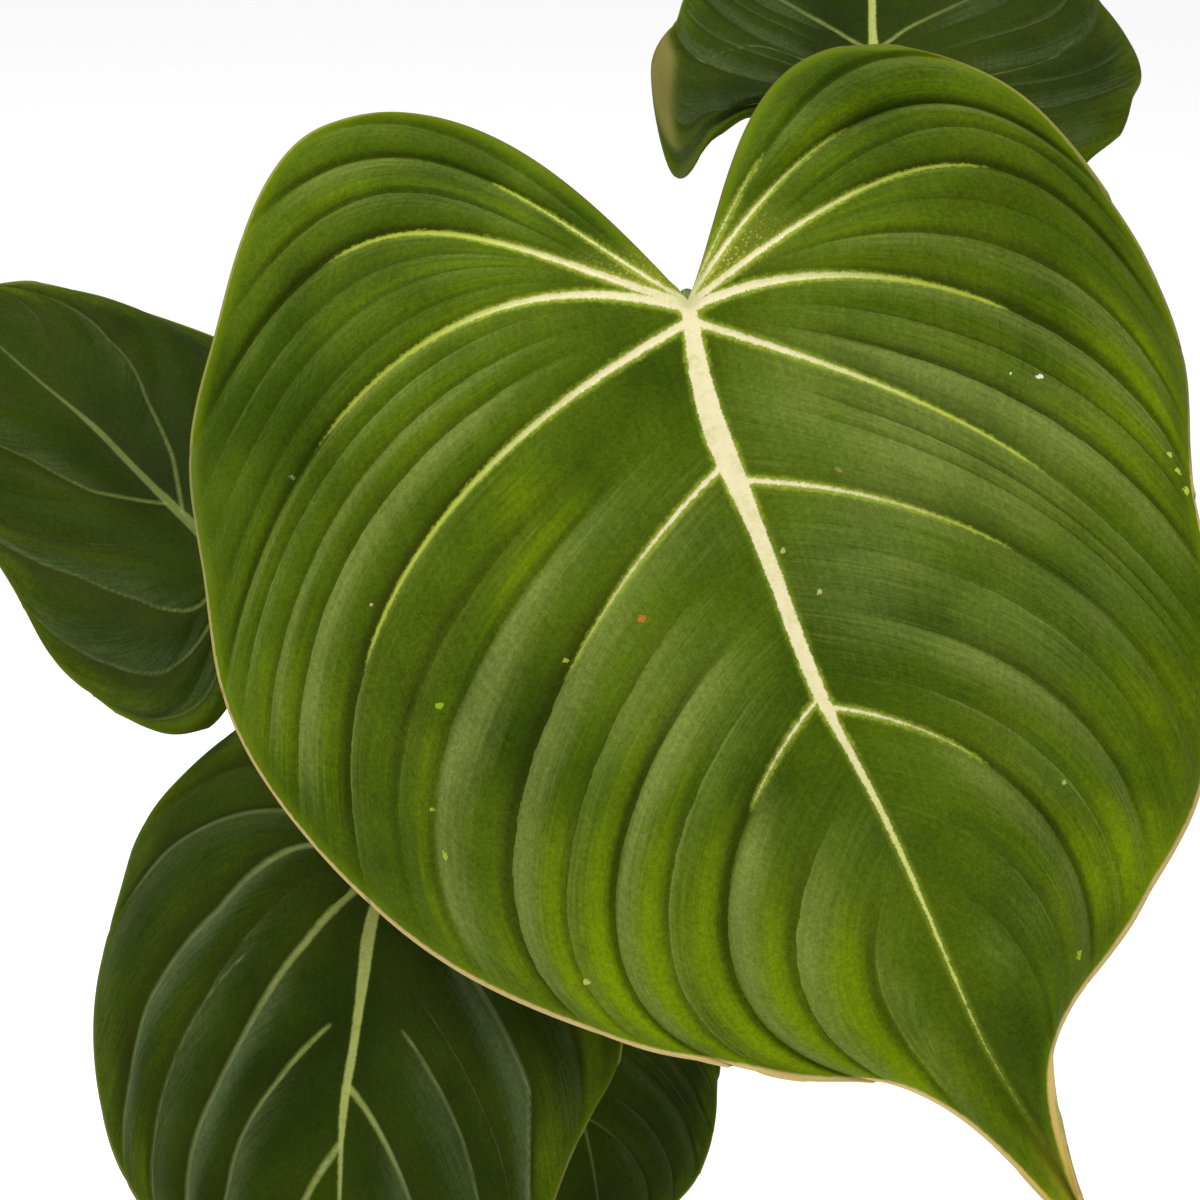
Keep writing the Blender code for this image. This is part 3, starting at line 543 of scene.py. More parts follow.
def read_points(obj):
    """The places of a mesh's vertices, one row each."""
    spots = np.empty(len(obj.data.vertices) * 3)
    obj.data.vertices.foreach_get("co", spots)
    return spots.reshape(-1, 3)


def write_points(obj, points):
    """Moves a mesh's vertices to these places."""
    obj.data.vertices.foreach_set("co", np.ascontiguousarray(points, float).ravel())
    obj.data.update()


def read_normals(obj):
    """The directions in which a mesh's vertices face, one row each."""
    normals = np.empty(len(obj.data.vertices) * 3)
    obj.data.vertex_normals.foreach_get("vector", normals)
    return normals.reshape(-1, 3)


def weld(obj, distance=0.000001, fill=False, outward=True):
    """Merges vertices that meet, closes open ends if asked, and turns the faces outwards."""
    choose(obj)
    bpy.ops.object.mode_set(mode="EDIT")
    bpy.ops.mesh.select_mode(type="VERT")
    bpy.ops.mesh.select_all(action="SELECT")
    bpy.ops.mesh.remove_doubles(threshold=distance)
    bpy.ops.mesh.select_all(action="SELECT")
    bpy.ops.mesh.dissolve_degenerate(threshold=distance)
    if fill:
        bpy.ops.mesh.select_all(action="SELECT")
        bpy.ops.mesh.fill_holes(sides=0)
    if outward:
        bpy.ops.mesh.select_all(action="SELECT")
        bpy.ops.mesh.normals_make_consistent(inside=False)
    bpy.ops.object.mode_set(mode="OBJECT")


def apply_modifier(obj, kind, **settings):
    """Adds a modifier with its settings and applies it."""
    choose(obj)
    modifier = obj.modifiers.new(kind.title(), kind)
    for key, value in settings.items():
        setattr(modifier, key, value)
    bpy.ops.object.modifier_apply(modifier=modifier.name)


def smooth(obj, degrees=None):
    """Shades a piece smoothly all over, or only across edges that bend less than an angle."""
    choose(obj)
    if degrees is None:
        bpy.ops.object.shade_smooth()
    else:
        bpy.ops.object.shade_smooth_by_angle(angle=math.radians(degrees))


def give_values(obj, **named):
    """Stores one number for each vertex under each name, for the material to read."""
    for name, values in named.items():
        layer = obj.data.attributes.new(name, "FLOAT", "POINT")
        every = np.broadcast_to(np.asarray(values, np.float32), len(obj.data.vertices))
        layer.data.foreach_set("value", np.ascontiguousarray(every))


def take_values(obj, name):
    """Reads back the numbers stored under a name."""
    values = np.empty(len(obj.data.vertices), np.float32)
    obj.data.attributes[name].data.foreach_get("value", values)
    return values


def keep_in_box(obj):
    """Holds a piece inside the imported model's box."""
    inset = 0.00005
    low = np.array(CAD_LOW) + inset
    high = np.array(CAD_HIGH) - inset
    write_points(obj, np.clip(read_points(obj), low, high))


def finish_piece(obj, material, slot, *nodes):
    """Gives a piece its material, and tells the frame its body and the nodes that it replaces. The slot is not
    used.
    """
    obj.data.materials.clear()
    obj.data.materials.append(material)
    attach(obj, "root")
    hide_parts(*nodes)


def stem_point(x):
    """The creeping stem's axis over a place along X."""
    route = np.array(STEM_ROUTE, float)
    y = curve_through(route[:, 0], route[:, 1:], np.array([float(x)]))[0, 0]
    return np.array([x, y, SOIL_TOP + STEM_LIFT])


def make_tube(name, line, radii, sides, shape=None):
    """A rod along a line of points, closed at both ends. shape(turns, steps) changes its radius round and
    along it."""
    line = np.asarray(line, float)
    steps = len(line) - 1
    obj, column, row = new_grid(name, steps, sides)
    forward = np.gradient(line, axis=0)
    forward /= np.linalg.norm(forward, axis=1, keepdims=True)
    side = np.cross(forward[0], (0.31, 0.87, 0.12))  # a direction that no rod runs along
    sides_of, ups = [], []
    for way in forward:
        side = side - way * (side @ way)
        side /= np.linalg.norm(side)
        sides_of.append(side)
        ups.append(np.cross(way, side))
    sides_of, ups = np.array(sides_of), np.array(ups)
    turn = 2 * math.pi * (row % sides) / sides
    radius = np.asarray(radii, float)[column]
    if shape is not None:
        radius = radius * shape(turn, column / steps)
    points = (line[column] + radius[:, None] * (np.cos(turn)[:, None] * sides_of[column]
                                                + np.sin(turn)[:, None] * ups[column]))
    write_points(obj, points * MM)
    weld(obj, fill=True)
    return obj


def join(objects, name):
    """Makes one object of several, under a name of its own."""
    choose(*objects)
    bpy.ops.object.join()
    made = bpy.context.active_object
    made.name = name
    made.data.name = name
    return made


# Materials


class Wire:
    """A value on its way through a material. Sums and products of wires become Math nodes."""

    def __init__(self, finish, socket):
        self.finish = finish
        self.socket = socket

    def sum_with(self, operation, first, second=None):
        """Adds the Math node for an operation on one value or two."""
        values = {0: first} if second is None else {0: first, 1: second}
        return self.finish.node("Math", {"operation": operation}, values)

    def __add__(self, other):
        return self.sum_with("ADD", self, other)

    def __sub__(self, other):
        return self.sum_with("SUBTRACT", self, other)

    def __rsub__(self, other):
        return self.sum_with("SUBTRACT", other, self)

    def __mul__(self, other):
        return self.sum_with("MULTIPLY", self, other)

    def __truediv__(self, other):
        return self.sum_with("DIVIDE", self, other)

    def __rtruediv__(self, other):
        return self.sum_with("DIVIDE", other, self)

    __radd__ = __add__
    __rmul__ = __mul__

    def part(self):
        """What is left of the value after its whole number."""
        return self.sum_with("FRACT", self)

    def swing(self, size):
        """A pattern from 0 to 1 made to swing round 0, by half the size each way."""
        return (self - 0.5) * size

    def between(self, low, high):
        """0 at low and 1 at high, with soft ends. low may be the greater."""
        return self.finish.node("MapRange", {"interpolation_type": "SMOOTHSTEP"},
                                {"Value": self, "From Min": low, "From Max": high})


class Finish:
    """A material with a Principled shader, put together from nodes that one call adds."""

    def __init__(self, name, **constants):
        self.material = bpy.data.materials.new(name)
        self.material.use_nodes = True
        self.tree = self.material.node_tree
        self.shader = self.tree.nodes["Principled BSDF"]
        for key, value in constants.items():
            self.set(key.replace("_", " "), value)

    def node(self, kind, settings=None, values=None, out=0):
        """Adds a node with its settings and its sockets' values or wires, and gives one of its outputs."""
        made = self.tree.nodes.new("ShaderNode" + kind)
        for key, value in (settings or {}).items():
            setattr(made, key, value)
        for key, value in (values or {}).items():
            if isinstance(value, Wire):
                self.tree.links.new(value.socket, made.inputs[key])
            else:
                made.inputs[key].default_value = value
        return Wire(self, made.outputs[out])

    def set(self, socket, value):
        """Gives a socket of the shader a wire or a plain value."""
        if isinstance(value, Wire):
            self.tree.links.new(value.socket, self.shader.inputs[socket])
        else:
            self.shader.inputs[socket].default_value = value

    def stored(self, name):
        """A number that give_values stored on the piece."""
        return self.node("Attribute", {"attribute_name": name}, out=2)

    def where(self):
        """Object coordinates, in metres."""
        return self.node("TexCoord", out=3)

    def unwrapped(self):
        """Both coordinates of the piece's own UV map."""
        flat = self.node("TexCoord", out=2)
        return self.node("SeparateXYZ", values={0: flat}), self.node("SeparateXYZ", values={0: flat}, out=1)

    def spot(self, x, y, z=0.0):
        """A point made of three numbers or wires."""
        return self.node("CombineXYZ", values={0: x, 1: y, 2: z})

    def noise(self, at, scale, detail=3.0, roughness=0.55):
        """Cloudy pattern from 0 to 1 round 0.5."""
        return self.node("TexNoise", values={"Vector": at, "Scale": scale, "Detail": detail,
                                             "Roughness": roughness})

    def cells(self, at, scale, feature="F1"):
        """Distance to the nearest of scattered points, or to the border between their cells."""
        return self.node("TexVoronoi", {"feature": feature}, {"Vector": at, "Scale": scale})

    def blend(self, share, first, second, way="MIX"):
        """From the first colour at share 0 to the second at share 1."""
        first = first if isinstance(first, Wire) else (*first, 1)
        second = second if isinstance(second, Wire) else (*second, 1)
        return self.node("Mix", {"data_type": "RGBA", "blend_type": way, "clamp_factor": True},
                         {0: share, 6: first, 7: second}, out=2)

    def shaded(self, colour, shade, blue=None):
        """A colour times a number, or times another number for its blue."""
        return self.blend(1.0, colour, self.spot(shade, shade, blue or shade), "MULTIPLY")

    def bump(self, height, distance, strength):
        """Lets a pattern raise the surface's shading, by a distance in metres."""
        self.set("Normal", self.node("Bump", values={"Height": height, "Distance": distance,
                                                     "Strength": strength}))


def blade_finish(name, look, flecks=()):
    """Velvety blade: deep green with painted sheen on the pleat flanks, painted shade in the troughs and
    yellower hollows, pale veins with a frayed yellow-green border, a tan margin, a paler underside and a few
    flecks at given points."""
    soft = look["soft"]
    made = Finish(name, Specular_IOR_Level=look["gloss"], Sheen_Weight=look["sheen"], Sheen_Roughness=0.42,
                  Sheen_Tint=(*look["sheen_tint"], 1))
    at = made.where()
    place, along = made.unwrapped()
    vein, rib, edge = made.stored("vein_gap"), made.stored("rib_gap"), made.stored("edge_gap")
    under, shown = made.stored("under"), made.stored("vein_shown")
    # Patches: yellow ones partly the leaf's own yellow-green and partly painted light, grey ones painted sheen,
    # deep ones painted shade
    yellow, grey, deep = made.stored("yellow"), made.stored("grey"), made.stored("deep")
    grain = made.noise(at, 2300.0, 3.0, 0.65)
    coarse = made.noise(at, 800.0, 3.0, 0.6)
    mottle = made.noise(at, 170.0, 4.0, 0.6)
    cloud = made.noise(at, 24.0, 3.0, 0.5)
    streak = made.noise(made.spot(place * 34.0, along * 5.0), 1.0, 3.0, 0.6)
    fine = made.noise(made.spot(place * 95.0, along * 9.0, 3.0), 1.0, 3.0, 0.6)
    ticks = made.noise(made.spot(place * 2.0, along * 95.0), 1.0, 3.0, 0.65)

    # Pleats: painted sheen on the flank, yellow hollow and painted shade in the trough
    share = (made.stored("pleat") + mottle.swing(0.08)).part()
    spread = along.between(0.05, 0.4) * (1 - along.between(0.84, 1.0) * 0.75)
    painted_flank_sheen = share.between(0.2, 1.0) * made.stored("light") * spread
    hollow = share.between(0.04, 0.24) * share.between(0.8, 0.4) * made.stored("warm") * spread
    painted_trough_shade = share.between(0.3, 0.02) * made.stored("dark") * spread
    colour = made.blend(cloud.between(0.25, 0.7), look["deep"], look["mid"])
    warm = (yellow * 0.75 + hollow * (0.2 + cloud * 0.45) + mottle.swing(0.6) * yellow
            + streak.swing(0.45) - deep * 0.3)
    colour = made.blend(warm.between(0.1, 1.0), colour, look["warm"])
    # Painted sheen: grey-green on the lit pleat flanks and in the sheen patches, broken by streaks and ticks
    painted_sheen_grey = (grey * 0.55 + painted_flank_sheen * (0.6 + cloud * 0.4) + ticks.swing(0.12) + streak.swing(0.55)
            - deep * 0.3)
    colour = made.blend(painted_sheen_grey.between(0.08, 1.05), colour, look["painted_sheen_grey"])
    # Darkened by painted shade in the troughs and deep patches, over the velvet's grain, streaks and ticks
    shade = (0.94 + grain.swing(0.9) + coarse.swing(0.75) + (streak + fine - 1.0) * 0.2
             + ticks.swing(0.3) - painted_trough_shade * 0.4 - deep * 0.34)
    colour = made.shaded(colour, shade, shade * 0.96)
    # Painted shade in the troughs, drawn towards olive
    colour = made.blend(painted_trough_shade * 0.4, colour, TROUGH_PAINTED_SHADE)

    # Veins, their ragged border and the yellow at the joint
    fuzz = grain - 0.5
    ragged = made.noise(at, 520.0, 3.0, 0.6) - 0.5
    vein = vein + (1 - shown) * 3.0
    joined = made.node("Math", {"operation": "SMOOTH_MIN"}, {0: rib, 1: vein, 2: 1.6})
    close = along.between(0.5, 0.08)
    frayed = (fuzz * 1.5 + ragged * 0.9) * (close * 0.55 + 0.45)
    line = joined + frayed
    band = rib + fuzz * 1.2 + ragged * 0.9
    halo = (line + coarse.swing(2.2)).between(close * look["halo"] * 0.7 + look["halo"] * 0.35, -0.2)
    halo = halo * (shown * 0.5 + 0.5)
    colour = made.blend(halo * look["halo_share"], colour, look["lime"])
    near = along.between(0.24, 0.04) * place.between(6.0, 7.4)
    dots = made.cells(at, 1000.0).between(0.42, 0.16) * near
    colour = made.blend((dots * 0.7 + near * 0.3) * look["dots"], colour, JOINT_YELLOW)
    ends = ((along.between(0.1, 0.42) + (1 - shown) * 0.35) * rib.between(-0.3, 1.0)
            + place.between(2.2, 0.6) * 0.8)
    tint = made.blend(ends, look["cream"], look["vein_end"])
    tint = made.blend((mottle * 0.5 + coarse * 0.5).between(0.45, 0.7) * 0.35, tint, look["lime"])
    tint = made.blend((grain * 0.5 + streak * 0.5).between(0.5, 0.7) * 0.3, tint, VEIN_IVORY)
    if soft:
        drawn = (vein + frayed).between(0.2 + soft, -0.4 - soft * 0.5)
    else:
        drawn = line.between(0.2, -0.4)
    colour = made.blend(drawn * made.stored("vein_strength"), colour, tint)
    drawn = band.between(0.2 + soft * 0.6, -0.3 - soft * 0.3)
    colour = made.blend(drawn * made.stored("rib_strength"), colour, tint)

    # Margin and tip
    wide = 0.9 + place.between(5.8, 4.2) * 0.7
    rim = ((edge + ragged * 0.6) / wide).between(1.0, 0.45)
    rim_tint = made.blend(place.between(8.3, 8.9), look["rim"], look["notch_rim"])
    rim_tint = made.blend(place.between(1.0, 0.2) * 0.8, rim_tint, look["tip_rim"])
    colour = made.blend((edge + mottle).between(4.5, 0.8) * 0.4, colour, look["warm"])
    colour = made.blend(place.between(0.45, 0.05) * 0.6 * look["dots"], colour, TIP_YELLOW)
    colour = made.blend(rim * look["rim_share"] * (0.3 + place.between(7.0, 5.4) * 0.7), colour, rim_tint)

    # Flecks with torn edges, the underside and the velvet's relief
    torn = ragged * 4.4 + coarse.swing(3.0) if flecks else None
    for point, radius, fleck in flecks:
        gap = made.node("VectorMath", {"operation": "DISTANCE"}, {0: at, 1: point}, out=1)
        colour = made.blend((gap / radius + torn).between(1.25, 0.7) * 0.85, colour, fleck)
    colour = made.blend(made.stored("fold") * 0.9, colour, FOLD_TAN)
    back = made.blend(cloud.between(0.3, 0.7), look["back"], look["back_warm"])
    back = made.blend((streak - 0.35) * 0.5, back, look["lime"])
    back = made.blend(line.between(0.9, -0.1) * 0.8, back, look["back_vein"])
    back = made.blend(rim * 0.8, back, look["rim"])
    made.set("Base Color", made.blend(under, colour, back))

    made.set("Roughness", 0.6 + grain.swing(0.18) - halo * 0.06 + under * 0.06)
    raised = line.between(0.5, -0.3) * (0.5 - soft * 0.5)
    made.bump(coarse * 0.3 + grain * 0.25 + streak * 0.4 + ticks * 0.15 + raised, 0.00035, 0.7)
    return made.material


def stalk_finish(settings):
    """Green stalk with fine paler ribs and short pale flecks, browner at the foot."""
    made = Finish("stalk_ribbed_green", Specular_IOR_Level=0.4)
    at = made.where()
    length, turn = made.unwrapped()
    ribs = made.noise(made.spot(turn * 46.0, length * 3.0), 1.0, 2.0, 0.5)
    fleck = made.cells(made.spot(turn * 60.0, length * 150.0), 1.0)
    mottle = made.noise(at, 240.0, 3.0, 0.6)
    colour = made.blend(ribs.between(0.35, 0.65), paint(74, 96, 34), tuple(settings.stalk_colour))
    colour = made.blend(fleck.between(0.22, 0.08) * 0.55, colour, paint(196, 204, 140))
    colour = made.blend((length + mottle.swing(0.06)).between(0.1, 0.0) * 0.7, colour, paint(120, 96, 52))
    colour = made.blend(length.between(0.88, 0.97) * 0.5, colour, paint(176, 184, 104))
    shade = 0.82 + mottle * 0.34
    made.set("Base Color", made.shaded(colour, shade))
    made.set("Roughness", 0.4 + mottle.swing(0.2))
    made.bump(ribs + fleck.between(0.2, 0.05) * 0.4, 0.0003, 0.8)
    return made.material


def stem_finish(settings):
    """Creeping stem: olive skin with corky brown patches, dark brown cracks and darker rings."""
    made = Finish("creeping_stem_skin", Specular_IOR_Level=0.35)
    at = made.where()
    length, turn = made.unwrapped()
    scar = made.stored("scar")
    cork = made.noise(made.spot(length * 26.0, turn * 9.0), 1.0, 5.0, 0.65)
    cracks = made.cells(made.spot(length * 60.0, turn * 10.0), 1.0, "DISTANCE_TO_EDGE")
    grain = made.noise(at, 700.0, 4.0, 0.65)
    colour = made.blend(cork.between(0.35, 0.62), tuple(settings.stem_colour), paint(128, 104, 62))
    colour = made.blend(cracks.between(0.1, 0.02) * 0.5, colour, paint(62, 46, 28))
    colour = made.blend(scar * 0.8, colour, paint(88, 62, 36))
    shade = 0.72 + grain * 0.5
    made.set("Base Color", made.shaded(colour, shade))
    made.set("Roughness", 0.62 + cork.swing(0.3))
    made.bump(cork * 0.8 + cracks.between(0.12, 0.0) * -0.8 + grain * 0.3, 0.0008, 0.8)
    return made.material


def soil_finish(settings):
    """Dark potting mix: peat fibres, fine crumbs and damp patches."""
    made = Finish("potting_mix", Specular_IOR_Level=0.25)
    at = made.where()
    crumb = made.cells(at, 420.0)
    fine = made.noise(at, 1300.0, 5.0, 0.7)
    patch = made.noise(at, 30.0, 3.0, 0.5)
    fibre = made.noise(made.node("Mapping", {}, {"Vector": at, "Scale": (3.0, 0.5, 1.0)}), 520.0, 3.0, 0.6)
    colour = made.blend(patch.between(0.35, 0.65), tuple(settings.soil_colour), paint(70, 50, 34))
    colour = made.blend(crumb.between(0.0, 0.6) * 0.55, colour, paint(34, 24, 17))
    colour = made.blend(fibre.between(0.6, 0.74) * 0.6, colour, paint(122, 92, 58))
    shade = 0.6 + fine * 0.8
    made.set("Base Color", made.shaded(colour, shade))
    made.set("Roughness", 0.9 + fine.swing(0.15))
    made.bump(fine * 0.7 + crumb * -0.6 + fibre * 0.4, 0.0012, 0.9)
    return made.material


def chip_finish(name, dark, light, scale):
    """Bark or mineral crumbs in the soil."""
    made = Finish(name, Specular_IOR_Level=0.25)
    at = made.where()
    grain = made.noise(at, scale, 5.0, 0.65)
    coarse = made.noise(at, 60.0, 2.0, 0.5)
    colour = made.blend((grain * 0.6 + coarse * 0.5).between(0.35, 0.75), dark, light)
    made.set("Base Color", colour)
    made.set("Roughness", 0.85 + grain.swing(0.2))
    made.bump(grain, 0.0008, 0.8)
    return made.material


def clay_finish(settings):
    """Fired clay: turned rings, sandy grain, darker damp foot, pale lime bloom on the rim and drips."""
    made = Finish("fired_clay", Specular_IOR_Level=0.3)
    at = made.where()
    height = made.node("SeparateXYZ", values={0: at}, out=2)
    grain = made.noise(at, 1100.0, 5.0, 0.7)
    sand = made.cells(at, 620.0)
    cloud = made.noise(at, 16.0, 4.0, 0.6)
    rings = made.noise(made.spot(0.0, 0.0, height * 420.0), 1.0, 2.0, 0.5)
    stain = made.noise(made.node("Mapping", {}, {"Vector": at, "Scale": (1.0, 1.0, 0.35)}), 34.0, 5.0, 0.62)
    colour = made.blend(cloud.between(0.3, 0.7), tuple(settings.clay_colour), paint(206, 122, 84))
    colour = made.blend(sand.between(0.3, 0.05) * 0.3, colour, paint(150, 78, 50))
    bloom = stain.between(0.52, 0.72) * (height.between(0.02, 0.0) + height.between(0.05, 0.165) * 0.6)
    colour = made.blend(bloom * 0.65, colour, paint(226, 204, 184))
    damp = (height + stain.swing(0.02)).between(0.03, 0.005)
    colour = made.blend(damp * 0.45, colour, paint(128, 70, 46))
    shade = 0.84 + grain * 0.24 + rings.swing(0.12)
    made.set("Base Color", made.shaded(colour, shade))
    made.set("Roughness", 0.84 + grain.swing(0.2))
    made.bump(grain * 0.4 + rings * 0.7 + sand * -0.2, 0.0006, 0.7)
    return made.material


def floor_finish(settings):
    """Plain pale floor that glows a little, so that it stays even."""
    made = Finish("pale_floor", Roughness=0.9, Specular_IOR_Level=0.1, Emission_Strength=0.4,
                  Emission_Color=(1, 1, 1, 1))
    made.set("Base Color", (*settings.floor_colour, 1))
    return made.material


# Pieces


def wash(spots, flat):
    """How much of a wash each point of the pattern gets from soft patches."""
    total = np.zeros(len(flat))
    for across, down, radius, amount in spots:
        gap = np.hypot(flat[:, 0] - across, flat[:, 1] - down)
        total = np.maximum(total, amount * np.exp(-(gap / radius)**2))
    return total


def make_blade(one, material, thickness):
    """A grid shaped as the blade's upper face, with the numbers that its material reads, then given its
    thickness, and under it a keel along the midrib and low ridges along the veins."""
    name = one["name"]
    columns, rows = GRIDS[name][0] * PLACES, GRIDS[name][1]
    obj, column, row = new_grid("leaf_blade_" + name, 2 * columns, rows)
    side = np.where(column < columns, -1, 1)
    place = np.abs(column - columns) / columns * PLACES
    along = (row / rows)**ROW_CROWDING
    top, flat = blade_grid(one, side, place, along)
    on_rib = row == 0
    shared = blade_grid(one, -np.ones(on_rib.sum(), int), place[on_rib], along[on_rib])
    top[on_rib], flat[on_rib] = shared
    vein, shown, rib, edge = line_distances(one, side, flat)
    # light and dark are the painted sheen on the pleat flanks and the painted shade in their troughs
    pleat, _, _, light, dark, warm = pleats_at(one, side, place, along)
    top[:, 2] -= GROOVE_DEPTH * np.exp(-(np.maximum(vein, 0) / GROOVE_WIDTH)**2) * ramp(along, 0, 0.04)
    # On the large blade, patches of partly painted light (yellow), painted sheen (grey) and painted shade
    # (deep)
    if one["large"]:
        yellow, grey, deep = [wash(spots, flat) for spots in (YELLOW_AND_PAINTED_LIGHT_AT, PAINTED_SHEEN_AT, PAINTED_SHADE_AT)]
    else:
        yellow, grey, deep = ramp(-edge, -26, -1) * 0.6, 0, 0
    fold = 0
    if name == "back":
        fold = ramp(place, 6.2, 6.5) * ramp(along, 0.76, 0.86) * ramp(-place, -7.9, -7.5) * (side > 0)
    give_values(obj, vein_gap=vein, vein_shown=shown, rib_gap=rib, edge_gap=edge, pleat=pleat, yellow=yellow,
                grey=grey, deep=deep, light=light, dark=dark, warm=warm, fold=fold,
                rib_strength=STRENGTHS[name][0], vein_strength=STRENGTHS[name][1], place=place, along=along)
    write_points(obj, blade_to_world(one, top) * MM)
    weld(obj, outward=False)
    if np.dot(read_normals(obj).mean(axis=0), blade_axes(one)[:, 2]) < 0:
        obj.data.flip_normals()
    half = len(obj.data.vertices)
    normals = read_normals(obj)
    apply_modifier(obj, "SOLIDIFY", thickness=thickness, offset=-1.0)
    vein, rib, place, along = [take_values(obj, key) for key in ("vein_gap", "rib_gap", "place", "along")]
    keel = one["size"] * MIDRIB_DEPTH * np.exp(-(np.maximum(rib, 0) / KEEL_WIDTH)**2)
    keel = keel * np.clip(1 - (1 - place / PLACES) * 0.75, 0.25, 1) * ramp(rib, 2.2, -0.2)
    ridge = RIDGE_DEPTH * one["size"] * np.exp(-(np.maximum(vein + 0.4, 0) / RIDGE_WIDTH)**2)
    drop = np.maximum(keel, ridge * (1 - along))
    points = read_points(obj)
    points[half:] -= normals * drop[half:, None] * MM
    write_points(obj, points)
    give_values(obj, under=np.arange(len(points)) >= half)
    corners = np.empty(len(obj.data.loops), int)
    obj.data.loops.foreach_get("vertex_index", corners)
    pattern = np.stack([place[corners], along[corners]], axis=1)
    obj.data.uv_layers[0].data.foreach_set("uv", pattern.astype(np.float32).ravel())
    for key in ("place", "along"):
        obj.data.attributes.remove(obj.data.attributes[key])
    keep_in_box(obj)
    smooth(obj)
    finish_piece(obj, material, "blade", "blade_" + name)


def stalk_line(one, thickness, steps=70):
    """Points from the creeping stem up to the back of the blade's joint, just under its keel, and that end
    with the blade's upward and tipward directions."""
    place, _, top, bow, sway = one["stalk"]
    axes = blade_axes(one)
    upward, tipward = axes[:, 2], axes[:, 1]
    foot_at = stem_point(place) + np.array([0, 0, STEM_RADIUS - SOCKET_DEPTH])
    back = thickness / MM + 0.2 + MIDRIB_DEPTH * one["size"] + top * 0.7 + 0.4
    end = np.array(one["joint"], float) - upward * back
    length = np.linalg.norm(end - foot_at)
    arrive = upward * 0.75 + np.array([0, 0, 0.55]) - tipward * 0.1
    arrive /= np.linalg.norm(arrive)
    lean_out = np.array([end[0] - foot_at[0], end[1] - foot_at[1], 0]) / max(length, 1)
    leave = np.array([0, 0, 1.0]) - 0.25 * lean_out
    t = np.linspace(0, 1, steps)[:, None]
    first = foot_at + leave * length * 0.42
    second = end - arrive * (length * 0.16 + bow * 0.6) + np.array([sway, 0, 0])
    line = (1 - t)**3 * foot_at + 3 * (1 - t)**2 * t * first + 3 * (1 - t) * t**2 * second + t**3 * end
    return line, end, upward, tipward


def make_stalk(one, material, thickness):
    """A ribbed rod, grooved on one side, that widens at its foot and runs out along the back of the midrib."""
    line, end, upward, tipward = stalk_line(one, thickness)
    foot, top = one["stalk"][1:3]
    t = np.linspace(0, 1, len(line))
    radii = top + (foot - top) * (1 - t)**1.3 + 0.25 * foot * np.exp(-t / 0.03)
    radii = radii * (1 + 0.1 * np.exp(-((t - 0.985) / 0.02)**2))
    turn = np.linspace(0, 1, 12)[1:, None]
    reach = 17 * one["size"]
    rise = (top * 0.7 + 0.3) * np.sin(turn * math.pi / 2)
    bend = end + tipward * reach * turn**1.4 + upward * rise
    line = np.vstack([line, bend])
    radii = np.concatenate([radii, top * (1 - 0.72 * turn[:, 0])])

    def shape(turns, share):
        ribbed = 1 + 0.035 * np.cos(7 * turns + 2 * share) + 0.02 * np.cos(13 * turns)
        return ribbed - 0.07 * np.clip(np.cos(turns), 0, 1)**4

    obj = make_tube("leaf_stalk_" + one["name"], line, radii, 28, shape)
    keep_in_box(obj)
    smooth(obj)
    finish_piece(obj, material, "stalk", "stalk_" + one["name"])


def make_creeping_stem(material, rootlets):
    """Stem with swollen rings, dark scars on them, a blunt growing point and roots."""
    steps = 220
    share = np.linspace(0, 1, steps + 1)
    xs = STEM_ROUTE[0][0] + share * (STEM_ROUTE[-1][0] - STEM_ROUTE[0][0])
    rings = np.array([one["stalk"][0] for one in LEAVES] + RINGS, float)
    near = np.min(np.abs(xs[:, None] - rings[None, :]), axis=1)
    radii = STEM_RADIUS * (0.96 + 0.1 * np.exp(-(near / 3.2)**2) - 0.05 * np.exp(-((near - 3.6) / 1.1)**2))
    radii *= np.sqrt(np.clip(1 - np.clip((share - 0.9) / 0.1, 0, 1)**2 * 0.93, 0, 1))
    radii *= 1 - 0.6 * np.clip((0.05 - share) / 0.05, 0, 1)**2

    def shape(turns, along):
        lumps = 0.02 * np.sin(3 * turns + 21 * along) + 0.015 * np.sin(5 * turns - 34 * along)
        return 1 + lumps + 0.008 * np.sin(11 * turns + 5 * np.sin(40 * along))

    line = [stem_point(x) for x in xs]
    stem = make_tube("creeping_stem_dressed", line, radii, 44, shape)
    parts = [stem]
    rng = np.random.default_rng(11)
    for x, side in ROOTS:
        start = stem_point(x)
        t = np.linspace(0, 1, 26)
        wander = np.cumsum(rng.normal(0, 0.25, (26, 3)), axis=0) * 0.5
        root = start + np.stack([5 * t, side * (2 + ROOT_REACH * t**0.8), -2 - 30 * t**1.6], axis=1) + wander
        parts.append(make_tube("root", root, np.linspace(2.3, 1.2, 26), 12,
                               lambda turns, along: 1 + 0.06 * np.sin(60 * along) + 0.04 * np.cos(3 * turns)))
    for _ in range(rootlets):
        x = rng.uniform(-60, 60)
        side = rng.choice([-1, 1])
        start = stem_point(x) + np.array([0, side * 7, -3])
        t = np.linspace(0, 1, 14)
        way = rng.uniform(8, 16)
        root = start + np.stack([rng.normal(0, 3) * t, side * way * t, 2 * np.sin(3 * t) - 9 * t**2], axis=1)
        parts.append(make_tube("rootlet", root, np.linspace(1.1, 0.4, 14), 8))
    stem = join(parts, "creeping_stem_dressed")
    spots = read_points(stem) / MM
    scar = np.exp(-(np.min(np.abs(spots[:, :1] - rings[None, :]), axis=1) / 1.3)**2)
    give_values(stem, scar=scar)
    smooth(stem)
    finish_piece(stem, material, "stem", "creeping_stem")


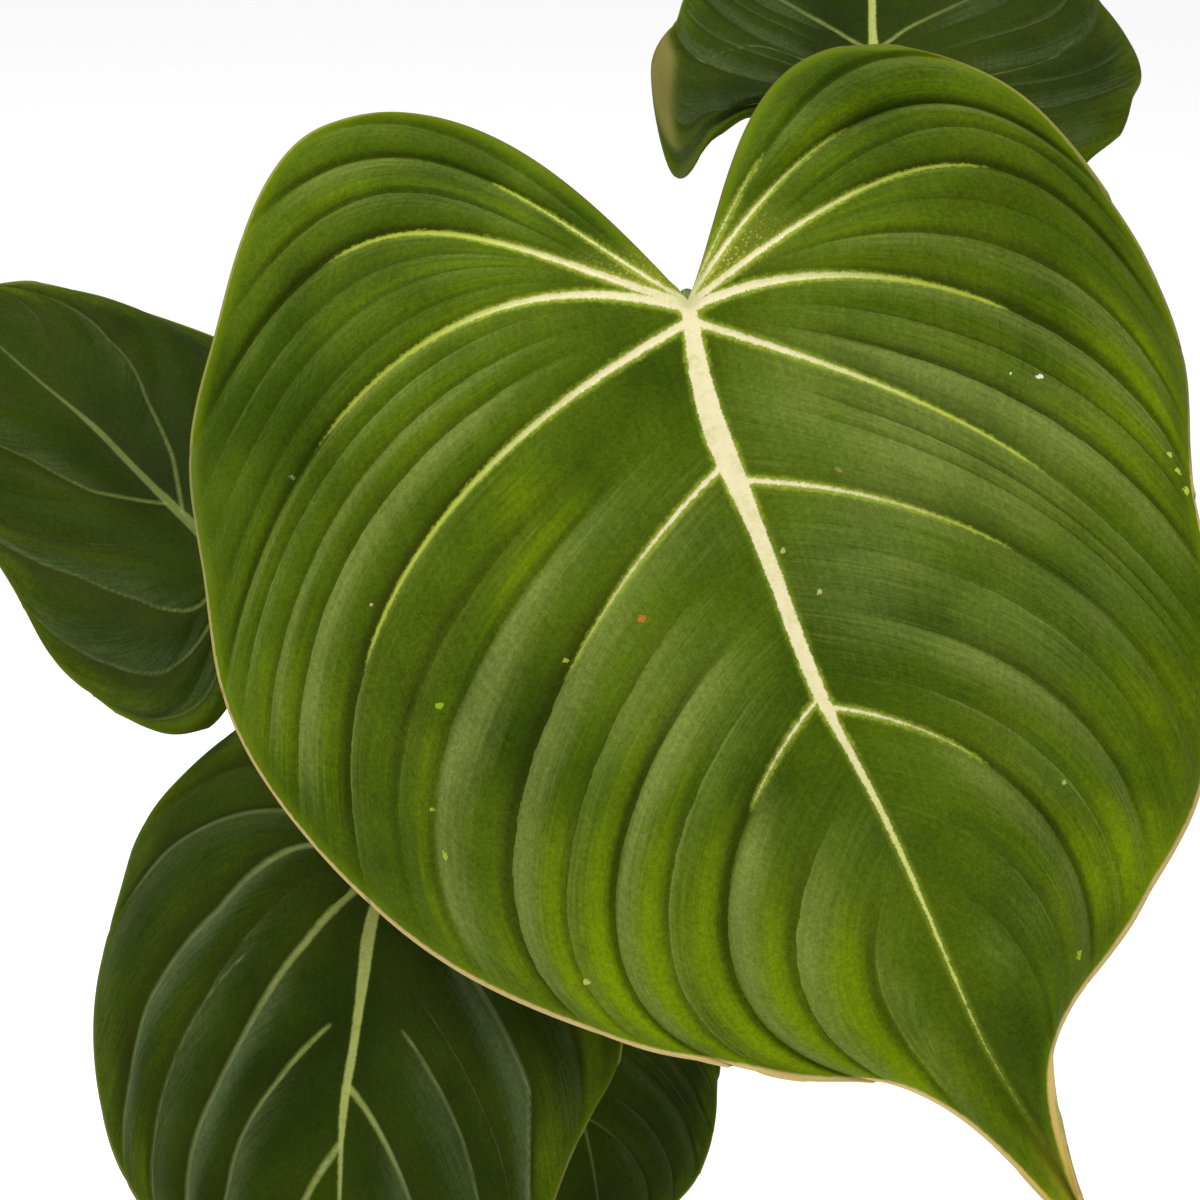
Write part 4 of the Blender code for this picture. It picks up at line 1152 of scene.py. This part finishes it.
def soil_height(x, y):
    """Top of the soil: a low heap with soft lumps."""
    r = np.hypot(x, y)
    lumps = 1.3 * np.sin(x / 9.0 + 0.7) * np.cos(y / 8.0) + 0.9 * np.sin((x + y) / 5.3)
    return SOIL_TOP + SOIL_HEAP * (1 - (r / 90)**2) + lumps * np.minimum(1, (92 - r) / 20)


def soil_top_radius():
    """Radius of the pot's inner wall at the soil's top, less a hair."""
    rise = (SOIL_TOP - POT_HEIGHT + RIM_HEIGHT) / (RIM_HEIGHT - 4)
    return POT_INNER_RADIUS + (MOUTH_RADIUS - 2 - POT_INNER_RADIUS) * rise - SOIL_GAP


def make_soil(material):
    """Crumbly surface from wall to wall, on a thick bed."""
    obj, column, row = new_grid("potting_soil", SOIL_FACES, SOIL_FACES)
    u = column / SOIL_FACES * 2 - 1
    v = row / SOIL_FACES * 2 - 1
    x = u * np.sqrt(np.clip(1 - v * v / 2, 0, 1))
    y = v * np.sqrt(np.clip(1 - u * u / 2, 0, 1))
    radius = soil_top_radius()
    x, y = x * radius, y * radius
    rng = np.random.default_rng(5)
    z = soil_height(x, y)
    for scale, depth in ((2.2, 0.7), (1.1, 0.6), (0.55, 0.45)):
        for _ in range(5):
            way = rng.uniform(0, 2 * math.pi)
            start = rng.uniform(0, 6)
            z = z + depth * 0.5 * np.sin((x * math.cos(way) + y * math.sin(way)) / scale + start
                                         + 1.5 * np.sin((x * math.sin(way) - y * math.cos(way)) / scale / 1.7))
    z = z + rng.normal(0, 0.25, len(z))
    spots = np.stack([x, y, z], axis=1)
    write_points(obj, spots * MM)
    if read_normals(obj)[:, 2].mean() < 0:
        obj.data.flip_normals()
    apply_modifier(obj, "SOLIDIFY", thickness=SOIL_DEPTH * MM, offset=-1.0, use_even_offset=False)
    low = read_points(obj)
    bed = np.arange(len(low)) >= len(spots)
    low[bed, :2] = spots[:, :2] * 0.93 * MM
    low[bed, 2] = (SOIL_TOP - SOIL_DEPTH) * MM
    write_points(obj, low)
    smooth(obj, 50)
    finish_piece(obj, material, "soil", "soil")


def scatter(name, base, count, sizes, flatness, seed, material):
    """Many copies of one crumb on the soil, turned and sized by a seeded draw, as one mesh."""
    rng = np.random.default_rng(seed)
    shape = read_points(base)
    faces = [tuple(f.vertices) for f in base.data.polygons]
    spots, all_faces = [], []
    radius = soil_top_radius() - 3
    stem_end = STEM_ROUTE[-1][0]
    while len(spots) < count:
        r, a = radius * math.sqrt(rng.uniform(0, 1)), rng.uniform(0, 2 * math.pi)
        x, y = r * math.cos(a), r * math.sin(a)
        size = sizes[0] + (sizes[1] - sizes[0]) * rng.uniform(0, 1)**2.2
        off_stem = abs(y - stem_point(np.clip(x, -stem_end, stem_end))[1])
        if abs(x) < stem_end + 2 and off_stem < STEM_RADIUS * 0.85 + size * 0.4:
            continue
        stretch = np.array([rng.uniform(0.8, 1.5), rng.uniform(0.55, 0.95), flatness * rng.uniform(0.6, 1.3)])
        turn = (Matrix.Rotation(rng.uniform(0, 2 * math.pi), 3, "Z")
                @ Matrix.Rotation(rng.normal(0, 0.35), 3, "X") @ Matrix.Rotation(rng.normal(0, 0.35), 3, "Y"))
        jitter = 1 + rng.normal(0, 0.1, (len(shape), 1))
        points = (shape * jitter * stretch * size) @ np.array(turn).T
        height = soil_height(x, y) + size * flatness * (0.5 - CRUMB_SINK)
        all_faces += [tuple(i + len(shape) * len(spots) for i in f) for f in faces]
        spots.append(points + np.array([x, y, height]))
    mesh = bpy.data.meshes.new(name)
    mesh.from_pydata([tuple(p) for p in np.vstack(spots) * MM], [], all_faces)
    obj = bpy.data.objects.new(name, mesh)
    bpy.context.scene.collection.objects.link(obj)
    bpy.data.objects.remove(base, do_unlink=True)
    smooth(obj, 35)
    finish_piece(obj, material, "soil")


def chip_base(kind):
    """One crumb, about 1 across: a split bark chip or a rounded mineral grain."""
    choose()
    if kind == "bark":
        bpy.ops.mesh.primitive_cube_add(size=0.5)
        base = bpy.context.active_object
        base.scale = (2.0, 1.5, 1.0)
        bpy.ops.object.transform_apply(location=False, rotation=False, scale=True)
        apply_modifier(base, "BEVEL", width=0.09, segments=1, affect="EDGES")
        return base
    bpy.ops.mesh.primitive_ico_sphere_add(subdivisions=2 if kind == "grain" else 1, radius=0.5)
    return bpy.context.active_object


def pot_profile():
    """Outer side from the top down, across the underside, and up the inner side, with a rounded rim."""
    inner_foot = POT_FOOT_RADIUS - POT_WALL
    low_rim = POT_HEIGHT - RIM_HEIGHT
    return [
        (RIM_RADIUS - 3.4, POT_HEIGHT), (RIM_RADIUS - 1.9, POT_HEIGHT - 0.5),
        (RIM_RADIUS - 0.7, POT_HEIGHT - 1.7), (RIM_RADIUS, POT_HEIGHT - 3.6),
        (RIM_RADIUS - 0.3, POT_HEIGHT - 6), (RIM_RADIUS - 1.9, POT_HEIGHT - 18),
        (RIM_FOOT_RADIUS + 0.7, low_rim + 3), (RIM_FOOT_RADIUS + 0.2, low_rim + 1.2),
        (RIM_FOOT_RADIUS - 1.2, low_rim + 0.2), (RIM_FOOT_RADIUS - 3.5, low_rim),
        (POT_WALL_TOP_RADIUS - 0.4, low_rim - 0.6), (POT_WALL_TOP_RADIUS - 1, low_rim - 2.2),
        (82, 105), (77, 74), (72, 42), (POT_FOOT_RADIUS + 1.6, 8), (POT_FOOT_RADIUS + 1, 3.4),
        (POT_FOOT_RADIUS, 1), (POT_FOOT_RADIUS - 2.4, 0), (30, 0), (0, 0),
        (0, POT_BASE), (inner_foot - 6, POT_BASE), (inner_foot - 1.5, POT_BASE + 1.5),
        (inner_foot, POT_BASE + 5), (POT_INNER_RADIUS, low_rim), (MOUTH_RADIUS - 2, POT_HEIGHT - 5),
        (MOUTH_RADIUS - 1.4, POT_HEIGHT - 2), (MOUTH_RADIUS - 0.2, POT_HEIGHT - 0.5),
        (MOUTH_RADIUS + 1.2, POT_HEIGHT),
    ]


def make_pot(material, holes, hole_radius):
    """A profile spun round the middle, with drain holes cut through its base."""
    profile = pot_profile()
    choose()
    bpy.ops.mesh.primitive_circle_add(vertices=len(profile), radius=0.1, fill_type="NOTHING")
    pot = bpy.context.active_object
    pot.name = "clay_pot"
    write_points(pot, np.array([(r * MM, 0, z * MM) for r, z in profile]))
    bpy.ops.object.mode_set(mode="EDIT")
    bpy.ops.mesh.select_all(action="SELECT")
    bpy.ops.mesh.spin(steps=144, angle=2 * math.pi, center=(0, 0, 0), axis=(0, 0, 1))
    bpy.ops.object.mode_set(mode="OBJECT")
    weld(pot, 0.00002)
    work = bmesh.new()
    work.from_mesh(pot.data)
    spare = [f for f in work.faces if f.calc_area() < 1e-12]
    bmesh.ops.delete(work, geom=spare, context="FACES")
    loose = [e for e in work.edges if not e.link_faces]
    bmesh.ops.delete(work, geom=loose, context="EDGES")
    bmesh.ops.recalc_face_normals(work, faces=work.faces)
    work.to_mesh(pot.data)
    work.free()
    for i in range(holes):
        angle = 2 * math.pi * i / holes
        choose()
        bpy.ops.mesh.primitive_cylinder_add(
            vertices=28, radius=hole_radius, depth=0.03,
            location=(DRAIN_CIRCLE * MM * math.cos(angle), DRAIN_CIRCLE * MM * math.sin(angle), 0.004))
        hole = bpy.context.active_object
        bpy.ops.object.transform_apply(location=True, rotation=True, scale=True)
        apply_modifier(pot, "BOOLEAN", operation="DIFFERENCE", solver="EXACT", object=hole)
        bpy.data.objects.remove(hole, do_unlink=True)
    smooth(pot, 40)
    finish_piece(pot, material, "clay", "pot")


# The add-on


def colour_setting(name, description, default):
    """A colour that a user may change."""
    return bpy.props.FloatVectorProperty(name=name, description=description, subtype="COLOR", size=3, min=0,
                                         max=1, default=default)


def size_setting(name, description, default):
    """A size that a user may change, with its default in millimetres."""
    return bpy.props.FloatProperty(name=name, description=description, unit="LENGTH", precision=4, min=0,
                                   default=default * MM)


def count_setting(name, description, default):
    """How many of something there are, which a user may change."""
    return bpy.props.IntProperty(name=name, description=description, min=1, default=default)


class PlantLooks(bpy.types.PropertyGroup):
    """Sizes, numbers, colours and gloss of the plant, soil and pot."""

    blade_thickness: size_setting("Blade thickness", "How thick the blades are between their veins",
                                  BLADE_THICKNESS)
    rootlets: count_setting("Rootlets", "How many fine roots leave the creeping stem", ROOTLETS)
    drain_holes: count_setting("Drain holes", "How many holes the pot's base has", DRAIN_HOLES)
    drain_radius: size_setting("Drain hole radius", "Radius of each hole in the pot's base", DRAIN_RADIUS)
    bark_chips: count_setting("Bark chips", "How many bark chips lie on the soil", 170)
    peat_crumbs: count_setting("Peat crumbs", "How many peat crumbs lie on the soil", 900)
    mineral_grains: count_setting("Mineral grains", "How many pale grains lie on the soil", 120)
    deep_green: colour_setting("Deep green", "Base colour of the large blade", paint(50, 71, 0))
    cream: colour_setting("Cream", "Main veins of the large blade", paint(222, 212, 168))
    shade_green: colour_setting("Shade green", "Base colour of the smaller blades", paint(28, 41, 0))
    stalk_colour: colour_setting("Stalk", "Light colour of the leaf stalks", paint(118, 138, 62))
    stem_colour: colour_setting("Creeping stem", "Skin of the creeping stem", paint(96, 104, 48))
    soil_colour: colour_setting("Soil", "Damp potting mix", paint(50, 36, 26))
    clay_colour: colour_setting("Clay", "Fired clay of the pot", paint(192, 106, 70))
    sheen: bpy.props.FloatProperty(
        name="Velvet sheen", description="How strongly the blades' fine hairs catch light", subtype="FACTOR",
        min=0, max=1, default=0.04)


class StageLooks(bpy.types.PropertyGroup):
    """Floor, light and camera."""

    floor_colour: colour_setting("Floor", "Colour of the floor", (0.93, 0.93, 0.93))
    floor_size: bpy.props.FloatProperty(
        name="Floor size", description="Side of the square floor", unit="LENGTH", min=1, default=14.0)
    key_power: bpy.props.FloatProperty(
        name="Key light", description="Power of the large soft light above", unit="POWER", min=0,
        default=36.0)
    fill_power: bpy.props.FloatProperty(
        name="Fill light", description="Power of the soft light from the front", unit="POWER", min=0,
        default=5.0)
    sky: bpy.props.FloatProperty(
        name="Surrounding light", description="Strength of the even light all round", min=0, default=0.42)
    lens: bpy.props.FloatProperty(
        name="Lens", description="Focal length of the camera", unit="CAMERA", min=10, default=108.0)


def blade_look(looks, large):
    """Colours of the face, its veins, rim and back, and how wide and strong the veins' yellow border is, how
    soft they are, and how much yellow lies at the joint and tip: sharp and bright for the large blade, softer
    and darker for those behind it, whose darker greens are their own colour and painted shade."""
    if large:
        return dict(
            deep=tuple(looks.deep_green), mid=paint(80, 100, 8), warm=paint(112, 134, 0),
            painted_sheen_grey=paint(116, 131, 60), lime=paint(150, 166, 48), cream=tuple(looks.cream),
            vein_end=paint(184, 194, 72), rim=paint(206, 180, 116), tip_rim=paint(202, 172, 66),
            notch_rim=paint(120, 84, 48), back=paint(112, 136, 66), back_warm=paint(128, 150, 74),
            back_vein=paint(176, 188, 112), sheen=looks.sheen, sheen_tint=paint(206, 222, 190), gloss=0.04,
            halo=1.5, halo_share=0.75, rim_share=0.95, soft=0.0, dots=1.0)
    return dict(
        deep=tuple(looks.shade_green), mid=paint(44, 58, 0), warm=paint(80, 98, 0), painted_sheen_grey=paint(76, 90, 54),
        lime=paint(72, 92, 32), cream=paint(156, 164, 84), vein_end=paint(104, 118, 70),
        rim=paint(128, 122, 60), tip_rim=paint(128, 122, 60), notch_rim=paint(92, 74, 46),
        back=paint(104, 124, 70), back_warm=paint(120, 138, 78), back_vein=paint(158, 170, 108),
        sheen=looks.sheen * 0.5, sheen_tint=paint(200, 216, 200), gloss=0.05, halo=1.6, halo_share=0.3,
        rim_share=0.6, soft=1.0, dots=0.0)


class MakePot(bpy.types.Operator):
    """Spin the clay pot and cut its drain holes"""

    bl_idname = "philodendron.make_pot"
    bl_label = "Clay pot"

    def execute(self, context):
        looks = context.scene.plant_looks
        make_pot(clay_finish(looks), looks.drain_holes, looks.drain_radius)
        return {"FINISHED"}


class MakeSoil(bpy.types.Operator):
    """Fill the pot with potting mix and its crumbs"""

    bl_idname = "philodendron.make_soil"
    bl_label = "Potting soil"

    def execute(self, context):
        looks = context.scene.plant_looks
        make_soil(soil_finish(looks))
        bark = chip_finish("bark_chips", paint(56, 36, 22), paint(128, 88, 54), 520.0)
        crumbs = chip_finish("peat_crumbs", paint(26, 18, 12), paint(72, 50, 34), 800.0)
        pearls = chip_finish("mineral_grains", paint(206, 200, 186), paint(240, 238, 230), 900.0)
        scatter("soil_bark_chips", chip_base("bark"), looks.bark_chips, (4, 11), 0.5, 21, bark)
        scatter("soil_peat_crumbs", chip_base("crumb"), looks.peat_crumbs, (1.6, 4.2), 0.8, 22, crumbs)
        scatter("soil_mineral_grains", chip_base("grain"), looks.mineral_grains, (1.6, 3.6), 0.9, 23, pearls)
        return {"FINISHED"}


class MakeStem(bpy.types.Operator):
    """Lay the creeping stem and its roots on the soil"""

    bl_idname = "philodendron.make_stem"
    bl_label = "Creeping stem"

    def execute(self, context):
        looks = context.scene.plant_looks
        make_creeping_stem(stem_finish(looks), looks.rootlets)
        return {"FINISHED"}


class MakeStalks(bpy.types.Operator):
    """Raise the five leaf stalks"""

    bl_idname = "philodendron.make_stalks"
    bl_label = "Leaf stalks"

    def execute(self, context):
        looks = context.scene.plant_looks
        material = stalk_finish(looks)
        for one in LEAVES:
            make_stalk(one, material, looks.blade_thickness)
        return {"FINISHED"}


class MakeBlades(bpy.types.Operator):
    """Shape the five blades"""

    bl_idname = "philodendron.make_blades"
    bl_label = "Leaf blades"

    def execute(self, context):
        looks = context.scene.plant_looks
        flecks = []
        for side, place, along, radius, shade in FLECKS:
            top, _ = blade_grid(LEAVES[0], np.array([side]), np.array([place]), np.array([along]))
            flecks.append((tuple(blade_to_world(LEAVES[0], top)[0] * MM), radius * MM, paint(*shade)))
        bright = blade_finish("blade_velvet_large", blade_look(looks, True), flecks)
        shaded = blade_finish("blade_velvet_shaded", blade_look(looks, False))
        for one in LEAVES:
            make_blade(one, bright if one["large"] else shaded, looks.blade_thickness)
        return {"FINISHED"}


class MakeStage(bpy.types.Operator):
    """Set the pale floor, soft lights and camera"""

    bl_idname = "philodendron.make_stage"
    bl_label = "Floor, light and camera"

    def soft_light(self, name, power, size, place):
        """A round area light that faces the plant."""
        data = bpy.data.lights.new(name, "AREA")
        data.shape = "DISK"
        data.size = size
        data.energy = power
        light = bpy.data.objects.new(name, data)
        light.location = place
        light.rotation_euler = (Vector(LIGHTS_AIM) - Vector(place)).to_track_quat("-Z", "Y").to_euler()
        bpy.context.scene.collection.objects.link(light)

    def execute(self, context):
        stage = context.scene.stage_looks
        choose()
        bpy.ops.mesh.primitive_plane_add(size=stage.floor_size, location=(0, 0, 0))
        floor = bpy.context.active_object
        floor.name = "studio_floor"
        floor.data.materials.append(floor_finish(stage))
        world = bpy.data.worlds.new("studio_surroundings")
        world.use_nodes = True
        surroundings = world.node_tree.nodes["Background"]
        surroundings.inputs["Color"].default_value = (1, 1, 1, 1)
        surroundings.inputs["Strength"].default_value = stage.sky
        context.scene.world = world
        self.soft_light("key_light", stage.key_power, KEY_SIZE, KEY_PLACE)
        self.soft_light("fill_light", stage.fill_power, FILL_SIZE, FILL_PLACE)
        data = bpy.data.cameras.new("studio_camera")
        data.lens = stage.lens
        data.sensor_width = 36.0
        data.clip_end = 50.0
        camera = bpy.data.objects.new("studio_camera", data)
        camera.location = CAMERA_PLACE
        camera.rotation_euler = (math.radians(CAMERA_PITCH), 0, 0)
        context.scene.collection.objects.link(camera)
        context.scene.camera = camera
        context.scene.view_settings.view_transform = "Standard"
        return {"FINISHED"}


class PlantPanel(bpy.types.Panel):
    """Buttons and settings for the plant"""

    bl_idname = "VIEW3D_PT_philodendron"
    bl_label = "Philodendron"
    bl_space_type = "VIEW_3D"
    bl_region_type = "UI"
    bl_category = "Philodendron"

    def draw(self, context):
        layout = self.layout
        for group in (context.scene.plant_looks, context.scene.stage_looks):
            box = layout.box()
            for key in group.__annotations__:
                box.prop(group, key)
        for step in STEPS:
            layout.operator(step.bl_idname)


STEPS = (MakePot, MakeSoil, MakeStem, MakeStalks, MakeBlades, MakeStage)
GROUPS = (PlantLooks, StageLooks)


def register():
    for made in (*GROUPS, *STEPS, PlantPanel):
        bpy.utils.register_class(made)
    bpy.types.Scene.plant_looks = bpy.props.PointerProperty(type=PlantLooks)
    bpy.types.Scene.stage_looks = bpy.props.PointerProperty(type=StageLooks)


def unregister():
    del bpy.types.Scene.stage_looks
    del bpy.types.Scene.plant_looks
    for made in reversed((*GROUPS, *STEPS, PlantPanel)):
        bpy.utils.unregister_class(made)


def main():
    register()
    bpy.ops.philodendron.make_pot()
    bpy.ops.philodendron.make_soil()
    bpy.ops.philodendron.make_stem()
    bpy.ops.philodendron.make_stalks()
    bpy.ops.philodendron.make_blades()
    bpy.ops.philodendron.make_stage()


if __name__ == "__main__":
    main()
